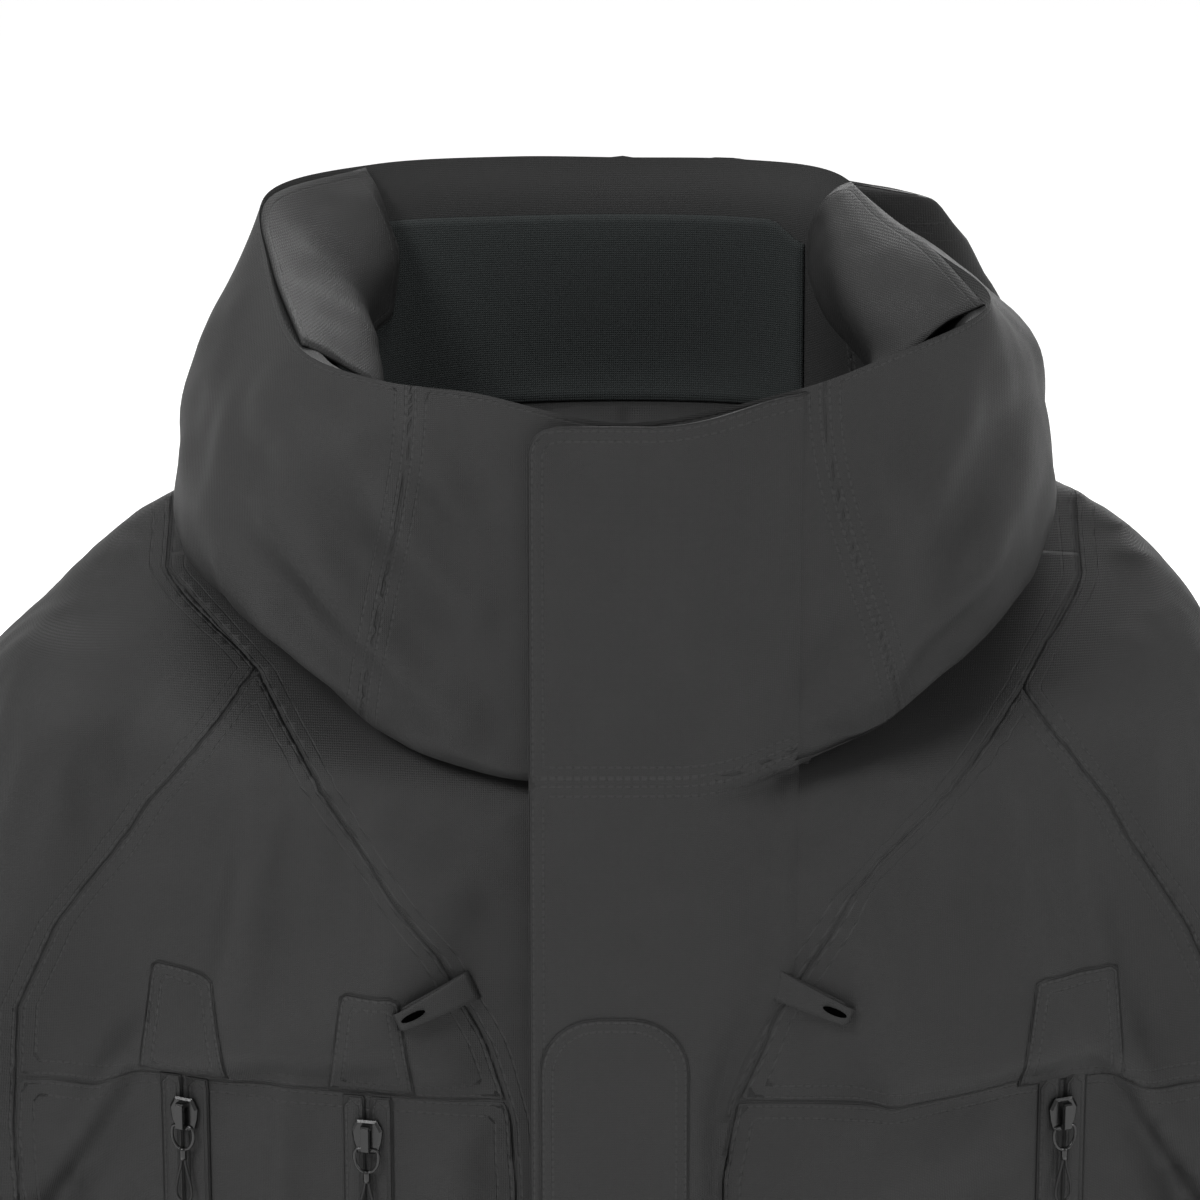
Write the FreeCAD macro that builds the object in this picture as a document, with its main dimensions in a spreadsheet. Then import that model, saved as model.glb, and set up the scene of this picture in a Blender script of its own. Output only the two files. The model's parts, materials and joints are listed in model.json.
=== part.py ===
"""Hardshell mountain jacket: hollow shell, high collar with a folded-back hood, storm flap over the main zip,
three chest zips, two fabric loops, cuffs with closing tabs.

Frame: millimetres, +Z up, the jacket's front faces -Y and its left side is +X. The origin is the middle of the
neck, where the wearer's neck or a hanger's hook stands. "Right" and "left" are the wearer's.
"""

import FreeCAD, Part

import math
import os

import Sketcher

Vector = FreeCAD.Vector
Rotation = FreeCAD.Rotation
Placement = FreeCAD.Placement

doc = FreeCAD.newDocument("hardshell_jacket")

# ----------------------------------------------------------------------------------------------------------------
# Driving dimensions. Plain numbers, in millimetres and degrees.
# ----------------------------------------------------------------------------------------------------------------
DIMENSIONS = [
    # body
    ("wall", 2.0, "thickness of every shell panel"),
    ("hem_z", -740.0, "height of the hem"),
    ("body_half_width", 266.0, "half the width of the body"),
    ("front_y", -130.0, "front of the body, the collar and the zip, one straight line"),
    ("back_y", 122.0, "back of the body"),
    ("chest_seam_z", -203.0, "seam across the front"),
    ("straight_front_z", -216.0, "top of the straight body in front"),
    ("blade_back_z", -150.0, "top of the straight body behind"),
    ("shoulder_half_width", 271.0, "half width of the section under the shoulder tips"),
    ("shoulder_front_z", -140.0, "its height in front"),
    ("shoulder_back_z", -36.0, "its height behind"),
    ("shoulder_back_y", 116.0, "its back"),
    ("slope_half_width", 238.0, "half width of the section on the shoulder slope"),
    ("slope_front_z", -86.0, "its height in front"),
    ("slope_back_z", 38.0, "its height behind"),
    ("slope_back_y", 98.0, "its back"),
    ("neck_half_width", 130.0, "half width of the neckline"),
    ("neck_front_z", -75.0, "height of the neckline in front"),
    ("neck_back_z", 42.0, "height of the neckline behind"),
    ("neck_back_y", 78.0, "back of the neckline"),
    ("back_yoke_z", -175.0, "seam across the back"),
    # princess seams and raglan seams, front
    ("princess_top_x", 150.0, "seam of the centre panel at the shoulder, from the middle"),
    ("princess_top_z", -62.0, "its height"),
    ("princess_low_x", 46.0, "the same seam from the chest down"),
    ("princess_low_z", -232.0, "height at which it becomes straight"),
    ("raglan_low_x", 256.0, "seam between shoulder and chest, at the side"),
    ("raglan_low_z", -150.0, "its height"),
    # collar and hood
    ("cowl_half_width", 186.0, "half width of the collar where it bulges most"),
    ("cowl_front_z", 4.0, "height of that section in front"),
    ("cowl_back_z", 92.0, "its height behind"),
    ("cowl_back_y", 98.0, "its back"),
    ("rim_half_width", 152.0, "half width of the collar's rim"),
    ("rim_front_z", 80.0, "height of the rim in front"),
    ("rim_back_z", 136.0, "height of the fold behind"),
    ("rim_back_y", 92.0, "back of the rim"),
    ("collar_seam_top_x", 84.0, "front collar seam at the rim, from the middle"),
    ("collar_seam_low_x", 112.0, "the same seam at the neckline"),
    ("hood_seam_y", 34.0, "seam between the collar's sides and its back"),
    ("hood_top_half", 138.0, "half width of the hanging hood at its mouth"),
    ("hood_top_depth", 11.0, "half thickness at the mouth"),
    ("hood_top_y", 108.0, "middle of the mouth, front to back"),
    ("hood_mid_half", 166.0, "half width of the hanging hood at its fullest"),
    ("hood_mid_depth", 30.0, "half thickness there"),
    ("hood_mid_y", 138.0, "middle there"),
    ("hood_low_half", 148.0, "half width lower down"),
    ("hood_low_depth", 29.0, "half thickness there"),
    ("hood_low_y", 152.0, "middle there"),
    ("hood_end_half", 96.0, "half width at the bottom"),
    ("hood_end_depth", 13.0, "half thickness at the bottom"),
    ("hood_end_y", 148.0, "middle at the bottom"),
    ("hood_drop", 212.0, "how far the hood hangs below its fold"),
    ("brim_height", 26.0, "height of the stiffened brim"),
    ("lining_half_width", 96.0, "half width of the brushed neck lining"),
    ("lining_low_z", 48.0, "lower edge of the lining"),
    ("lining_top_z", 108.0, "upper edge of the lining"),
    ("lining_thick", 1.2, "thickness of the lining"),
    ("facing_low_z", 8.0, "lower edge of the facing under the lining"),
    # front opening
    ("placket_x", 12.0, "edge of each front panel beside the zip"),
    ("tape_set", 2.4, "depth of the zip tape behind the panel's face"),
    ("tape_thick", 0.8, "thickness of zip tape"),
    ("tape_width", 13.0, "width of each tape"),
    ("chain_gap", 1.3, "half the gap between the rows of teeth"),
    ("chain_width", 2.0, "width of each row"),
    ("chain_thick", 2.6, "thickness of each row"),
    ("zip_low_clear", 8.0, "main zip's end above the hem"),
    ("zip_top_clear", 6.0, "main zip's end below the rim"),
    ("stop_height", 5.0, "height of the stops at the zip's ends"),
    ("slider_clear", 0.35, "gap between a slider and what it slides on"),
    ("slider_plate", 1.5, "thickness of a slider's plates"),
    ("slider_height", 15.0, "height of a slider"),
    ("slider_half_width", 6.4, "half width at its shoulders"),
    ("slider_foot", 4.4, "half width at its foot"),
    ("slider_crown", 5.0, "height of its tapered top"),
    ("bridge_half", 0.85, "half width of the bridge between the plates"),
    ("bail_half", 2.0, "half width of the bail"),
    ("bail_rise", 3.8, "height of the bail above the plate"),
    ("bail_bar", 1.2, "thickness of the bail"),
    ("bail_top", 4.0, "bail's top below the slider's top"),
    ("bail_height", 8.5, "height of the bail"),
    ("slider_start", 14.0, "top of a closed slider below its zip's top"),
    # storm flap
    ("flap_free_x", -39.0, "free edge of the storm flap"),
    ("flap_root_x", 45.0, "hinge line of the storm flap"),
    ("flap_thick", 2.0, "thickness of the storm flap"),
    ("flap_stand", 8.0, "space under the flap for the zip"),
    ("flap_low_clear", 6.0, "flap's end above the hem"),
    ("flap_top_clear", 3.0, "flap's end below the rim"),
    ("flap_corner", 12.0, "radius of the flap's free corners"),
    ("binding_width", 4.0, "width of the binding that holds the flap"),
    ("seat_gap", 0.4, "gap between faces of different bodies"),
    ("fastener_height", 26.0, "height of each hook-and-loop patch"),
    ("fastener_width", 14.0, "width of each patch"),
    ("fastener_thick", 1.4, "thickness of each patch"),
    ("fastener_inset", 4.0, "patch from the flap's free edge"),
    ("fastener_top", 30.0, "first patch below the flap's top"),
    ("fastener_step", 150.0, "distance between patches"),
    ("tab_half_width", 31.0, "half width of the chest tab"),
    ("tab_x", -4.0, "middle of the chest tab"),
    ("tab_top_z", -164.0, "top of the chest tab"),
    ("tab_height", 150.0, "height of the chest tab"),
    ("tab_thick", 1.6, "thickness of the chest tab"),
    ("tab_corner", 24.0, "radius of its top corners"),
    ("guard_half_width", 34.0, "half width of the wind guard behind the zip"),
    ("guard_set", 12.0, "depth of the guard behind the front line"),
    ("guard_thick", 1.4, "thickness of the wind guard"),
    # chest zips
    ("zip_outer_x", 185.0, "outer chest zips, from the middle"),
    ("zip_inner_x", 107.0, "inner chest zip, from the middle"),
    ("chest_zip_length", 180.0, "length of a chest zip"),
    ("chest_zip_drop", 3.0, "a chest zip's top below the chest seam"),
    ("slot_half_width", 8.4, "half width of the channel a chest zip lies in"),
    ("bag_set", 9.0, "depth of a pocket bag behind the panel's face"),
    ("bag_thick", 2.0, "thickness of a pocket bag"),
    ("bag_margin", 24.0, "how far a bag reaches past its zips"),
    ("ring_half_width", 5.4, "half width of a puller's ring"),
    ("ring_height", 11.0, "height of the ring"),
    ("ring_bar", 1.5, "thickness of the ring's bar"),
    ("clasp_half_width", 2.4, "half width of the clasp under the ring"),
    ("clasp_height", 5.2, "height of the clasp"),
    ("drop_half_width", 3.8, "half width of the drop-shaped pull"),
    ("drop_height", 19.0, "height of the drop-shaped pull"),
    # fabric loops beside the centre panel
    ("loop_x", 62.0, "loop's sewn end, from the middle"),
    ("loop_z", -154.0, "its height"),
    ("loop_length", 34.0, "length of a loop"),
    ("loop_width", 14.0, "width of a loop"),
    ("loop_thick", 0.9, "thickness of each ply"),
    ("loop_open", 2.6, "gap between its plies"),
    ("loop_turn", 24.0, "how far a loop slopes down, degrees"),
    # hanging loop in the neck
    ("hanger_half_width", 27.0, "half width of the hanging loop"),
    ("hanger_height", 7.0, "height of its ribbon"),
    ("hanger_thick", 1.6, "thickness of its ribbon"),
    ("hanger_gap", 5.0, "space behind the ribbon"),
    ("hanger_z", 20.0, "height of the hanging loop"),
    # sleeves
    ("arm_x", 197.0, "shoulder pivot, from the middle"),
    ("arm_y", -5.0, "shoulder pivot, front to back"),
    ("arm_z", -116.0, "height of the shoulder pivot"),
    ("arm_angle", 44.0, "upper sleeve, degrees from straight down"),
    ("fore_angle", 28.0, "lower sleeve, degrees from straight down"),
    ("upper_length", 285.0, "pivot to elbow"),
    ("fore_length", 250.0, "elbow to cuff"),
    ("cuff_length", 56.0, "length of the cuff"),
    ("arm_radius", 82.0, "sleeve's half width at the shoulder"),
    ("elbow_radius", 67.0, "half width at the elbow"),
    ("wrist_radius", 52.0, "half width where the cuff begins"),
    ("cuff_radius", 49.0, "half width at the cuff's end"),
    ("arm_flat", 0.94, "front-to-back size over width"),
    ("wrist_forward", 34.0, "how far forward the cuff is"),
    ("joint_radius", 112.0, "radius on which sleeve and shoulder slide"),
    ("cuff_tab_half", 30.0, "half length of a cuff tab"),
    ("cuff_tab_height", 26.0, "width of a cuff tab"),
    ("cuff_tab_thick", 2.0, "thickness of a cuff tab"),
    ("hem_band_height", 24.0, "height of the hem facing"),
    ("hem_band_thick", 1.4, "thickness of the hem facing"),
]

sheet = doc.addObject("Spreadsheet::Sheet", "dims")
for row, (alias, value, meaning) in enumerate(DIMENSIONS, start=1):
    sheet.set(f"A{row}", meaning)
    sheet.set(f"B{row}", str(value))
    sheet.setAlias(f"B{row}", alias)
doc.recompute()


class Size:
    """A number together with the expression it comes from, so first geometry and bindings share one source."""

    def __init__(self, value, text):
        self.value = float(value)
        self.text = text

    def __add__(self, other):
        other = sized(other)
        return Size(self.value + other.value, f"({self.text} + {other.text})")

    def __sub__(self, other):
        other = sized(other)
        return Size(self.value - other.value, f"({self.text} - {other.text})")

    def __mul__(self, other):
        other = sized(other)
        return Size(self.value * other.value, f"({self.text} * {other.text})")

    def __truediv__(self, other):
        other = sized(other)
        return Size(self.value / other.value, f"({self.text} / {other.text})")

    def __neg__(self):
        return Size(-self.value, f"(0 - {self.text})")

    def __radd__(self, other):
        return sized(other) + self

    def __rsub__(self, other):
        return sized(other) - self

    def __rmul__(self, other):
        return sized(other) * self


def sized(number):
    return number if isinstance(number, Size) else Size(number, repr(float(number)))


def root(inside):
    return Size(math.sqrt(inside.value), f"sqrt({inside.text})")


def sine(angle):
    return Size(math.sin(math.radians(angle.value)), f"sin({angle.text})")


def cosine(angle):
    return Size(math.cos(math.radians(angle.value)), f"cos({angle.text})")


def bearing(rise, run):
    return Size(math.degrees(math.atan2(rise.value, run.value)), f"atan2({rise.text}; {run.text})")


class Sheet:
    """Every driving dimension as an attribute."""


D = Sheet()
for alias, _, _ in DIMENSIONS:
    setattr(D, alias, Size(sheet.get(alias), f"dims.{alias}"))


# ----------------------------------------------------------------------------------------------------------------
# Helpers
# ----------------------------------------------------------------------------------------------------------------
def bind(thing, **sizes):
    for name, value in sizes.items():
        thing.setExpression(name, sized(value).text)
    return thing


def place(thing, x=0, y=0, z=0, axis=(0, 0, 1), angle=0):
    """Bind a placement: a position and one turn about an axis."""
    x, y, z, angle = sized(x), sized(y), sized(z), sized(angle)
    turn = f"rotation(vector({axis[0]}; {axis[1]}; {axis[2]}); {angle.text})"
    thing.setExpression("Placement", f"placement(vector({x.text}; {y.text}; {z.text}); {turn})")
    return thing


def section(name, half, front_y, front_z, back_y, back_z, inset=0):
    """An ellipse across the body through a front and a back point, taken in by inset."""
    ring = doc.addObject("Part::Ellipse", name)
    run = back_y - front_y
    rise = back_z - front_z
    bind(ring, MajorRadius=half - inset, MinorRadius=root(run * run + rise * rise) / 2 - inset)
    return place(ring, 0, (front_y + back_y) / 2, (front_z + back_z) / 2, (1, 0, 0), bearing(rise, run))


def block(name, x0, x1, y0, y1, z0, z1):
    """A box between two corners."""
    box = doc.addObject("Part::Box", name)
    x0, x1, y0, y1, z0, z1 = [sized(v) for v in (x0, x1, y0, y1, z0, z1)]
    bind(box, Length=x1 - x0, Width=y1 - y0, Height=z1 - z0)
    return place(box, x0, y0, z0)


def loft(name, sections):
    made = doc.addObject("Part::Loft", name)
    made.Sections = sections
    made.Solid = True
    made.Ruled = False
    return made


def cut(name, base, tool):
    made = doc.addObject("Part::Cut", name)
    made.Base = base
    made.Tool = tool
    return made


def fuse(name, pieces):
    made = doc.addObject("Part::MultiFuse", name)
    made.Shapes = pieces
    return made


def common(name, base, tool):
    made = doc.addObject("Part::Common", name)
    made.Base = base
    made.Tool = tool
    return made


def outline(sketch, points):
    """A closed polygon in a sketch; every corner is held by two bound distances from the origin."""
    first = sketch.GeometryCount
    count = len(points)
    points = [(sized(u), sized(v)) for u, v in points]
    for i, (u, v) in enumerate(points):
        u_next, v_next = points[(i + 1) % count]
        start = Vector(u.value, v.value, 0)
        end = Vector(u_next.value, v_next.value, 0)
        sketch.addGeometry(Part.LineSegment(start, end), False)
    for i in range(count):
        sketch.addConstraint(Sketcher.Constraint("Coincident", first + i, 2, first + (i + 1) % count, 1))
    for i, corner in enumerate(points):
        for kind, value in zip(("DistanceX", "DistanceY"), corner):
            if abs(value.value) < 1e-9:
                other = -2 if kind == "DistanceX" else -1
                sketch.addConstraint(Sketcher.Constraint("PointOnObject", first + i, 1, other))
                continue
            index = sketch.addConstraint(Sketcher.Constraint(kind, -1, 1, first + i, 1, value.value))
            label = f"c{first + i}{kind[-1]}"
            sketch.renameConstraint(index, label)
            sketch.setExpression(f"Constraints.{label}", value.text)


def prism(name, points, y0, y1):
    """A region drawn in the front view (x, z) and carried from y0 to y1."""
    y0, y1 = sized(y0), sized(y1)
    corners = [(sized(u).value, sized(v).value) for u, v in points]
    turns = sum(a[0] * b[1] - b[0] * a[1] for a, b in zip(corners, corners[1:] + corners[:1]))
    if turns > 0:
        points = points[::-1]
    sketch = doc.addObject("Sketcher::SketchObject", name + "_outline")
    outline(sketch, points)
    place(sketch, 0, y0, 0, (1, 0, 0), 90)
    made = doc.addObject("Part::Extrusion", name)
    made.Base = sketch
    made.DirMode = "Custom"
    made.Dir = Vector(0, 1, 0)
    made.Solid = True
    return bind(made, LengthFwd=y1 - y0)


nodes = []


def keep(label, thing):
    """Name a finished piece. Its label names its file."""
    thing.Label = label
    nodes.append(thing)
    return thing


SIDES = (("right", -1), ("left", 1))
FAR = 400

# ----------------------------------------------------------------------------------------------------------------
# The shell's outer and inner solids
# ----------------------------------------------------------------------------------------------------------------
def torso_solid(name, inset):
    """From the hem to the neckline."""
    body = (D.body_half_width, D.front_y)
    rings = [
        section(name + "_hem", *body, D.hem_z, D.back_y, D.hem_z, inset),
        section(name + "_chest", *body, D.straight_front_z, D.back_y, D.blade_back_z, inset),
    ]
    lower = loft(name + "_lower", rings)
    rings = [
        section(name + "_c", *body, D.straight_front_z, D.back_y, D.blade_back_z, inset),
        section(name + "_s", D.shoulder_half_width, D.front_y, D.shoulder_front_z, D.shoulder_back_y,
                D.shoulder_back_z, inset),
        section(name + "_p", D.slope_half_width, D.front_y, D.slope_front_z, D.slope_back_y, D.slope_back_z,
                inset),
        section(name + "_n", D.neck_half_width, D.front_y, D.neck_front_z, D.neck_back_y, D.neck_back_z, inset),
    ]
    upper = loft(name + "_upper", rings)
    return fuse(name, [lower, upper])


def cowl_solid(name, inset):
    """The collar, from the neckline to its rim and the hood's fold."""
    return loft(name, [
        section(name + "_n", D.neck_half_width, D.front_y, D.neck_front_z, D.neck_back_y, D.neck_back_z, inset),
        section(name + "_c", D.cowl_half_width, D.front_y, D.cowl_front_z, D.cowl_back_y, D.cowl_back_z, inset),
        section(name + "_r", D.rim_half_width, D.front_y, D.rim_front_z, D.rim_back_y, D.rim_back_z, inset),
    ])


def arm_point(side, reach, fore):
    """A point on the sleeve's axis: reach along the upper sleeve, then fore along the lower one."""
    reach, fore = sized(reach), sized(fore)
    out = reach * sine(D.arm_angle) + fore * sine(D.fore_angle)
    down = reach * cosine(D.arm_angle) + fore * cosine(D.fore_angle)
    forward = D.wrist_forward * (fore / (D.fore_length + D.cuff_length))
    return (side * (D.arm_x + out), D.arm_y - forward, D.arm_z - down)


def arm_ring(name, side, reach, fore, angle, radius, grow=0):
    ring = doc.addObject("Part::Ellipse", name)
    bind(ring, MajorRadius=radius + grow, MinorRadius=radius * D.arm_flat + grow)
    x, y, z = arm_point(side, reach, fore)
    return place(ring, x, y, z, (0, 1, 0), -side * angle)


def arm_solid(name, side, grow):
    """The sleeve from the shoulder to where the cuff begins."""
    mean = (D.arm_angle + D.fore_angle) / 2
    return loft(name, [
        arm_ring(name + "_a", side, 0, 0, D.arm_angle, D.arm_radius, grow),
        arm_ring(name + "_b", side, D.upper_length * 0.5, 0, D.arm_angle, (D.arm_radius + D.elbow_radius) / 2, grow),
        arm_ring(name + "_c", side, D.upper_length, 0, mean, D.elbow_radius, grow),
        arm_ring(name + "_d", side, D.upper_length, D.fore_length * 0.5, D.fore_angle,
                 (D.elbow_radius + D.wrist_radius) / 2, grow),
        arm_ring(name + "_e", side, D.upper_length, D.fore_length, D.fore_angle, D.wrist_radius, grow),
    ])


def cuff_solid(name, side, grow):
    return loft(name, [
        arm_ring(name + "_e", side, D.upper_length, D.fore_length, D.fore_angle, D.wrist_radius, grow),
        arm_ring(name + "_f", side, D.upper_length, D.fore_length + D.cuff_length, D.fore_angle, D.cuff_radius,
                 grow),
    ])


torso_outer = torso_solid("torso_outer", 0)
torso_inner = torso_solid("torso_inner", D.wall)
torso_shell = cut("torso_shell", torso_outer, torso_inner)
cowl_outer = cowl_solid("cowl_outer", 0)
cowl_inner = cowl_solid("cowl_inner", D.wall)
cowl_shell = cut("cowl_shell", cowl_outer, cowl_inner)


# ----------------------------------------------------------------------------------------------------------------
# Regions of the shell, seen from the front
# ----------------------------------------------------------------------------------------------------------------
def front_regions(side):
    """The four regions of a front half: centre panel, chest, shoulder and lower front."""
    low = (side * D.princess_low_x, D.princess_low_z)
    curve = [
        (side * (D.princess_low_x + 8), D.princess_low_z + 45),
        (side * (D.princess_low_x + 34), D.princess_low_z + 100),
        (side * D.princess_top_x, D.princess_top_z),
    ]
    top = (side * (D.princess_top_x + 30), 60)
    # where the curve meets the chest seam
    share = (D.chest_seam_z - D.princess_low_z) / 45
    corner = (side * (D.princess_low_x + 8 * share), D.chest_seam_z)
    raglan = (side * D.raglan_low_x, D.raglan_low_z)
    bottom = D.hem_z - 20
    inner = side * D.placket_x
    return {
        "centre_panel": [(inner, bottom), (side * D.princess_low_x, bottom), low] + curve + [top, (inner, 60)],
        "chest": [corner] + curve + [raglan, (side * FAR, D.raglan_low_z - 40), (side * FAR, D.chest_seam_z)],
        "shoulder": [curve[-1], raglan, (side * FAR, D.raglan_low_z - 40), (side * FAR, 60), top],
        "front": [(side * D.princess_low_x, bottom), low, corner, (side * FAR, D.chest_seam_z), (side * FAR, bottom)],
    }


def half_box(name, side, x0, x1, y0, y1, z0, z1):
    """A box given by distances from the middle, on either side."""
    if side < 0:
        return block(name, -sized(x1), -sized(x0), y0, y1, z0, z1)
    return block(name, x0, x1, y0, y1, z0, z1)




def mirrored(name, source):
    """The same piece on the other side of the middle plane."""
    made = doc.addObject("Part::Mirroring", name)
    made.Source = source
    made.Base = Vector(0, 0, 0)
    made.Normal = Vector(1, 0, 0)
    return made


def pair(name, right):
    """Keep a right-hand piece and its mirror image."""
    keep(f"{name}_right", right)
    keep(f"{name}_left", mirrored(f"{name}_left", right))


# The right half is worked out in full; pieces that are alike on both sides are mirrored from it.
RIGHT = -1
joint_bar = doc.addObject("Part::Cylinder", "joint_bar")
bind(joint_bar, Radius=D.joint_radius, Height=FAR)
place(joint_bar, RIGHT * D.arm_x, D.arm_y + FAR / 2, D.arm_z, (1, 0, 0), 90)
arm_outer = arm_solid("arm_outer", RIGHT, 0)
arm_inner = arm_solid("arm_inner", RIGHT, -D.wall)
half_shell = common("half_shell", torso_shell, block("right_half", -FAR, 0, -FAR, FAR, D.hem_z - 20, 200))
half_open = cut("half_open", half_shell, arm_inner)


def chest_frame(side, distance):
    """Where a chest zip lies: a point of the front's ellipse and the turn of its tangent."""
    middle_y = (D.front_y + D.back_y) / 2
    depth = (D.back_y - D.front_y) / 2
    ratio = distance / D.body_half_width
    drop = root(1 - ratio * ratio)
    y = middle_y - depth * drop
    turn = bearing(ratio / D.body_half_width, drop / depth)
    return side * distance, y, side * turn


CHEST_ZIPS = (
    ("right_outer", -1, D.zip_outer_x),
    ("right_inner", -1, D.zip_inner_x),
    ("left_outer", 1, D.zip_outer_x),
)
zip_top = D.chest_seam_z - D.chest_zip_drop

slots = []
for word, side, distance in CHEST_ZIPS:
    slot = doc.addObject("Part::Box", f"slot_{word}")
    bind(slot, Length=D.slot_half_width * 2, Width=24, Height=D.chest_zip_length)
    x, y, turn = chest_frame(side, distance)
    corner_x = x - D.slot_half_width * cosine(turn) + 12 * sine(turn)
    corner_y = y - D.slot_half_width * sine(turn) - 12 * cosine(turn)
    slots.append(place(slot, corner_x, corner_y, zip_top - D.chest_zip_length, (0, 0, 1), turn))
two_slots = fuse("two_slots", slots[:2])

cloth = {}
for name, points in front_regions(RIGHT).items():
    whole = common(f"{name}_whole", half_shell, prism(f"{name}_region", points, -FAR, 0))
    cloth[name] = whole if name == "centre_panel" else cut(f"{name}_cloth", whole, arm_inner)
pair("centre_panel", cloth["centre_panel"])
pair("chest", cloth["chest"])
keep("front_right", cut("front_right", cloth["front"], two_slots))
keep("front_left", cut("front_left", mirrored("front_left_whole", cloth["front"]), slots[2]))
pair("back_yoke", common("back_yoke_right", half_open,
                         block("yoke_region", -FAR, 0, 0, FAR, D.back_yoke_z, 200)))
pair("back_panel", common("back_panel_right", half_open,
                          block("back_region", -FAR, 0, 0, FAR, D.hem_z - 20, D.back_yoke_z)))

# Under each shoulder tip a short stub of sleeve stays with the body; the sleeve turns around it.
torso_clear = torso_solid("torso_clear", -D.seat_gap)
tube = cut("arm_tube", arm_outer, arm_inner)
stub = cut("shoulder_stub", common("stub_in_joint", tube, joint_bar), torso_outer)
pair("shoulder", fuse("shoulder_right", [cloth["shoulder"], stub]))
swept = doc.addObject("Part::Cylinder", "joint_clear")
bind(swept, Radius=D.joint_radius + D.seat_gap, Height=FAR)
place(swept, RIGHT * D.arm_x, D.arm_y + FAR / 2, D.arm_z, (1, 0, 0), 90)
sleeve_whole = cut("sleeve_whole", cut("sleeve_free", tube, swept), torso_clear)


def arm_box(name, side, reach, fore, angle, x0, x1, y0, y1, below, above):
    """A box in the frame of a sleeve's section; below and above are measured along the sleeve."""
    box = doc.addObject("Part::Box", name)
    bind(box, Length=sized(x1) - x0, Width=sized(y1) - y0, Height=sized(above) + below)
    x, y, z = arm_point(side, reach, fore)
    turn_x = sized(x0) * cosine(angle) + side * sized(below) * sine(angle)
    turn_z = side * sized(x0) * sine(angle) - sized(below) * cosine(angle)
    return place(box, x + turn_x, y + y0, z + turn_z, (0, 1, 0), -side * angle)


mean_angle = (D.arm_angle + D.fore_angle) / 2
pair("sleeve", common("sleeve_right", sleeve_whole,
                      arm_box("above_elbow", RIGHT, D.upper_length, 0, mean_angle, -200, 200, -200, 200, 0, FAR)))
pair("forearm", common("forearm_right", sleeve_whole,
                       arm_box("below_elbow", RIGHT, D.upper_length, 0, mean_angle, -200, 200, -200, 200, FAR, 0)))
pair("cuff", cut("cuff_right", cuff_solid("cuff_outer", RIGHT, 0), cuff_solid("cuff_inner", RIGHT, -D.wall)))
# closing tab, a curved strip on the front of the cuff
tab_ring = cut("cuff_tab_ring", cuff_solid("cuff_tab_out", RIGHT, D.seat_gap + D.cuff_tab_thick),
               cuff_solid("cuff_tab_in", RIGHT, D.seat_gap))
tab_window = arm_box("cuff_tab_window", RIGHT, D.upper_length, D.fore_length + D.cuff_length / 2, D.fore_angle,
                     -D.cuff_tab_half, D.cuff_tab_half, -80, 0, D.cuff_tab_height / 2, D.cuff_tab_height / 2)
pair("cuff_tab", common("cuff_tab_right", tab_ring, tab_window))
tab_mid = arm_point(RIGHT, D.upper_length, D.fore_length + D.cuff_length / 2)
print("cuff tab middle", [round(v.value, 3) for v in tab_mid])

hem_out = torso_solid("hem_out", D.wall)
hem_in = torso_solid("hem_in", D.wall + D.hem_band_thick)
hem_ring = common("hem_ring", cut("hem_facing", hem_out, hem_in),
                  block("hem_zone", -FAR, FAR, -FAR, FAR, D.hem_z, D.hem_z + D.hem_band_height))
keep("hem_band", cut("hem_band", hem_ring, block("hem_gap", -D.guard_half_width - D.seat_gap,
                                                 D.guard_half_width + D.seat_gap,
                                                 -FAR, 0, D.hem_z - 1, D.hem_z + 60)))

# ----------------------------------------------------------------------------------------------------------------
# Collar, neck and hood
# ----------------------------------------------------------------------------------------------------------------
cowl_half = common("cowl_half", cowl_shell, block("cowl_right", -FAR, 0, -FAR, FAR, -200, 300))
pair("collar_back", cut("collar_back_right", common("collar_back_cloth", cowl_half,
                                                    block("collar_back_zone", -FAR, 0, D.hood_seam_y, FAR, -200, 300)),
                        torso_outer))
seam_line = [(-D.collar_seam_low_x - 6, -120), (-D.collar_seam_low_x, D.neck_front_z),
             (-D.collar_seam_top_x, D.rim_front_z), (-D.collar_seam_top_x + 6, 200)]
pair("collar_front", common("collar_front_right", cowl_half,
                            prism("collar_front_region", [(-D.placket_x, -120)] + seam_line + [(-D.placket_x, 200)],
                                  -FAR, D.hood_seam_y)))
pair("collar_side", common("collar_side_right", cowl_half,
                           prism("collar_side_region", [(-FAR, -120)] + seam_line + [(-FAR, 200)],
                                 -FAR, D.hood_seam_y)))

lining_out = cowl_solid("lining_out", D.wall)
lining_in = cowl_solid("lining_in", D.wall + D.lining_thick)
lining_shell = cut("lining_shell", lining_out, lining_in)
keep("neck_lining", cut("neck_lining", common("lining_cloth", lining_shell,
                                              block("lining_zone", -D.lining_half_width, D.lining_half_width, 0, FAR,
                                                    D.lining_low_z, D.lining_top_z)), torso_outer))
keep("neck_facing", common("neck_facing", lining_shell,
                           block("facing_zone", -D.lining_half_width, D.lining_half_width, 0, FAR,
                                 D.facing_low_z, D.neck_back_z + 2)))


def hood_ring(name, half, depth, y, below, inset):
    ring = doc.addObject("Part::Ellipse", name)
    bind(ring, MajorRadius=half - inset, MinorRadius=depth - inset)
    return place(ring, 0, y, D.rim_back_z - below)


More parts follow.
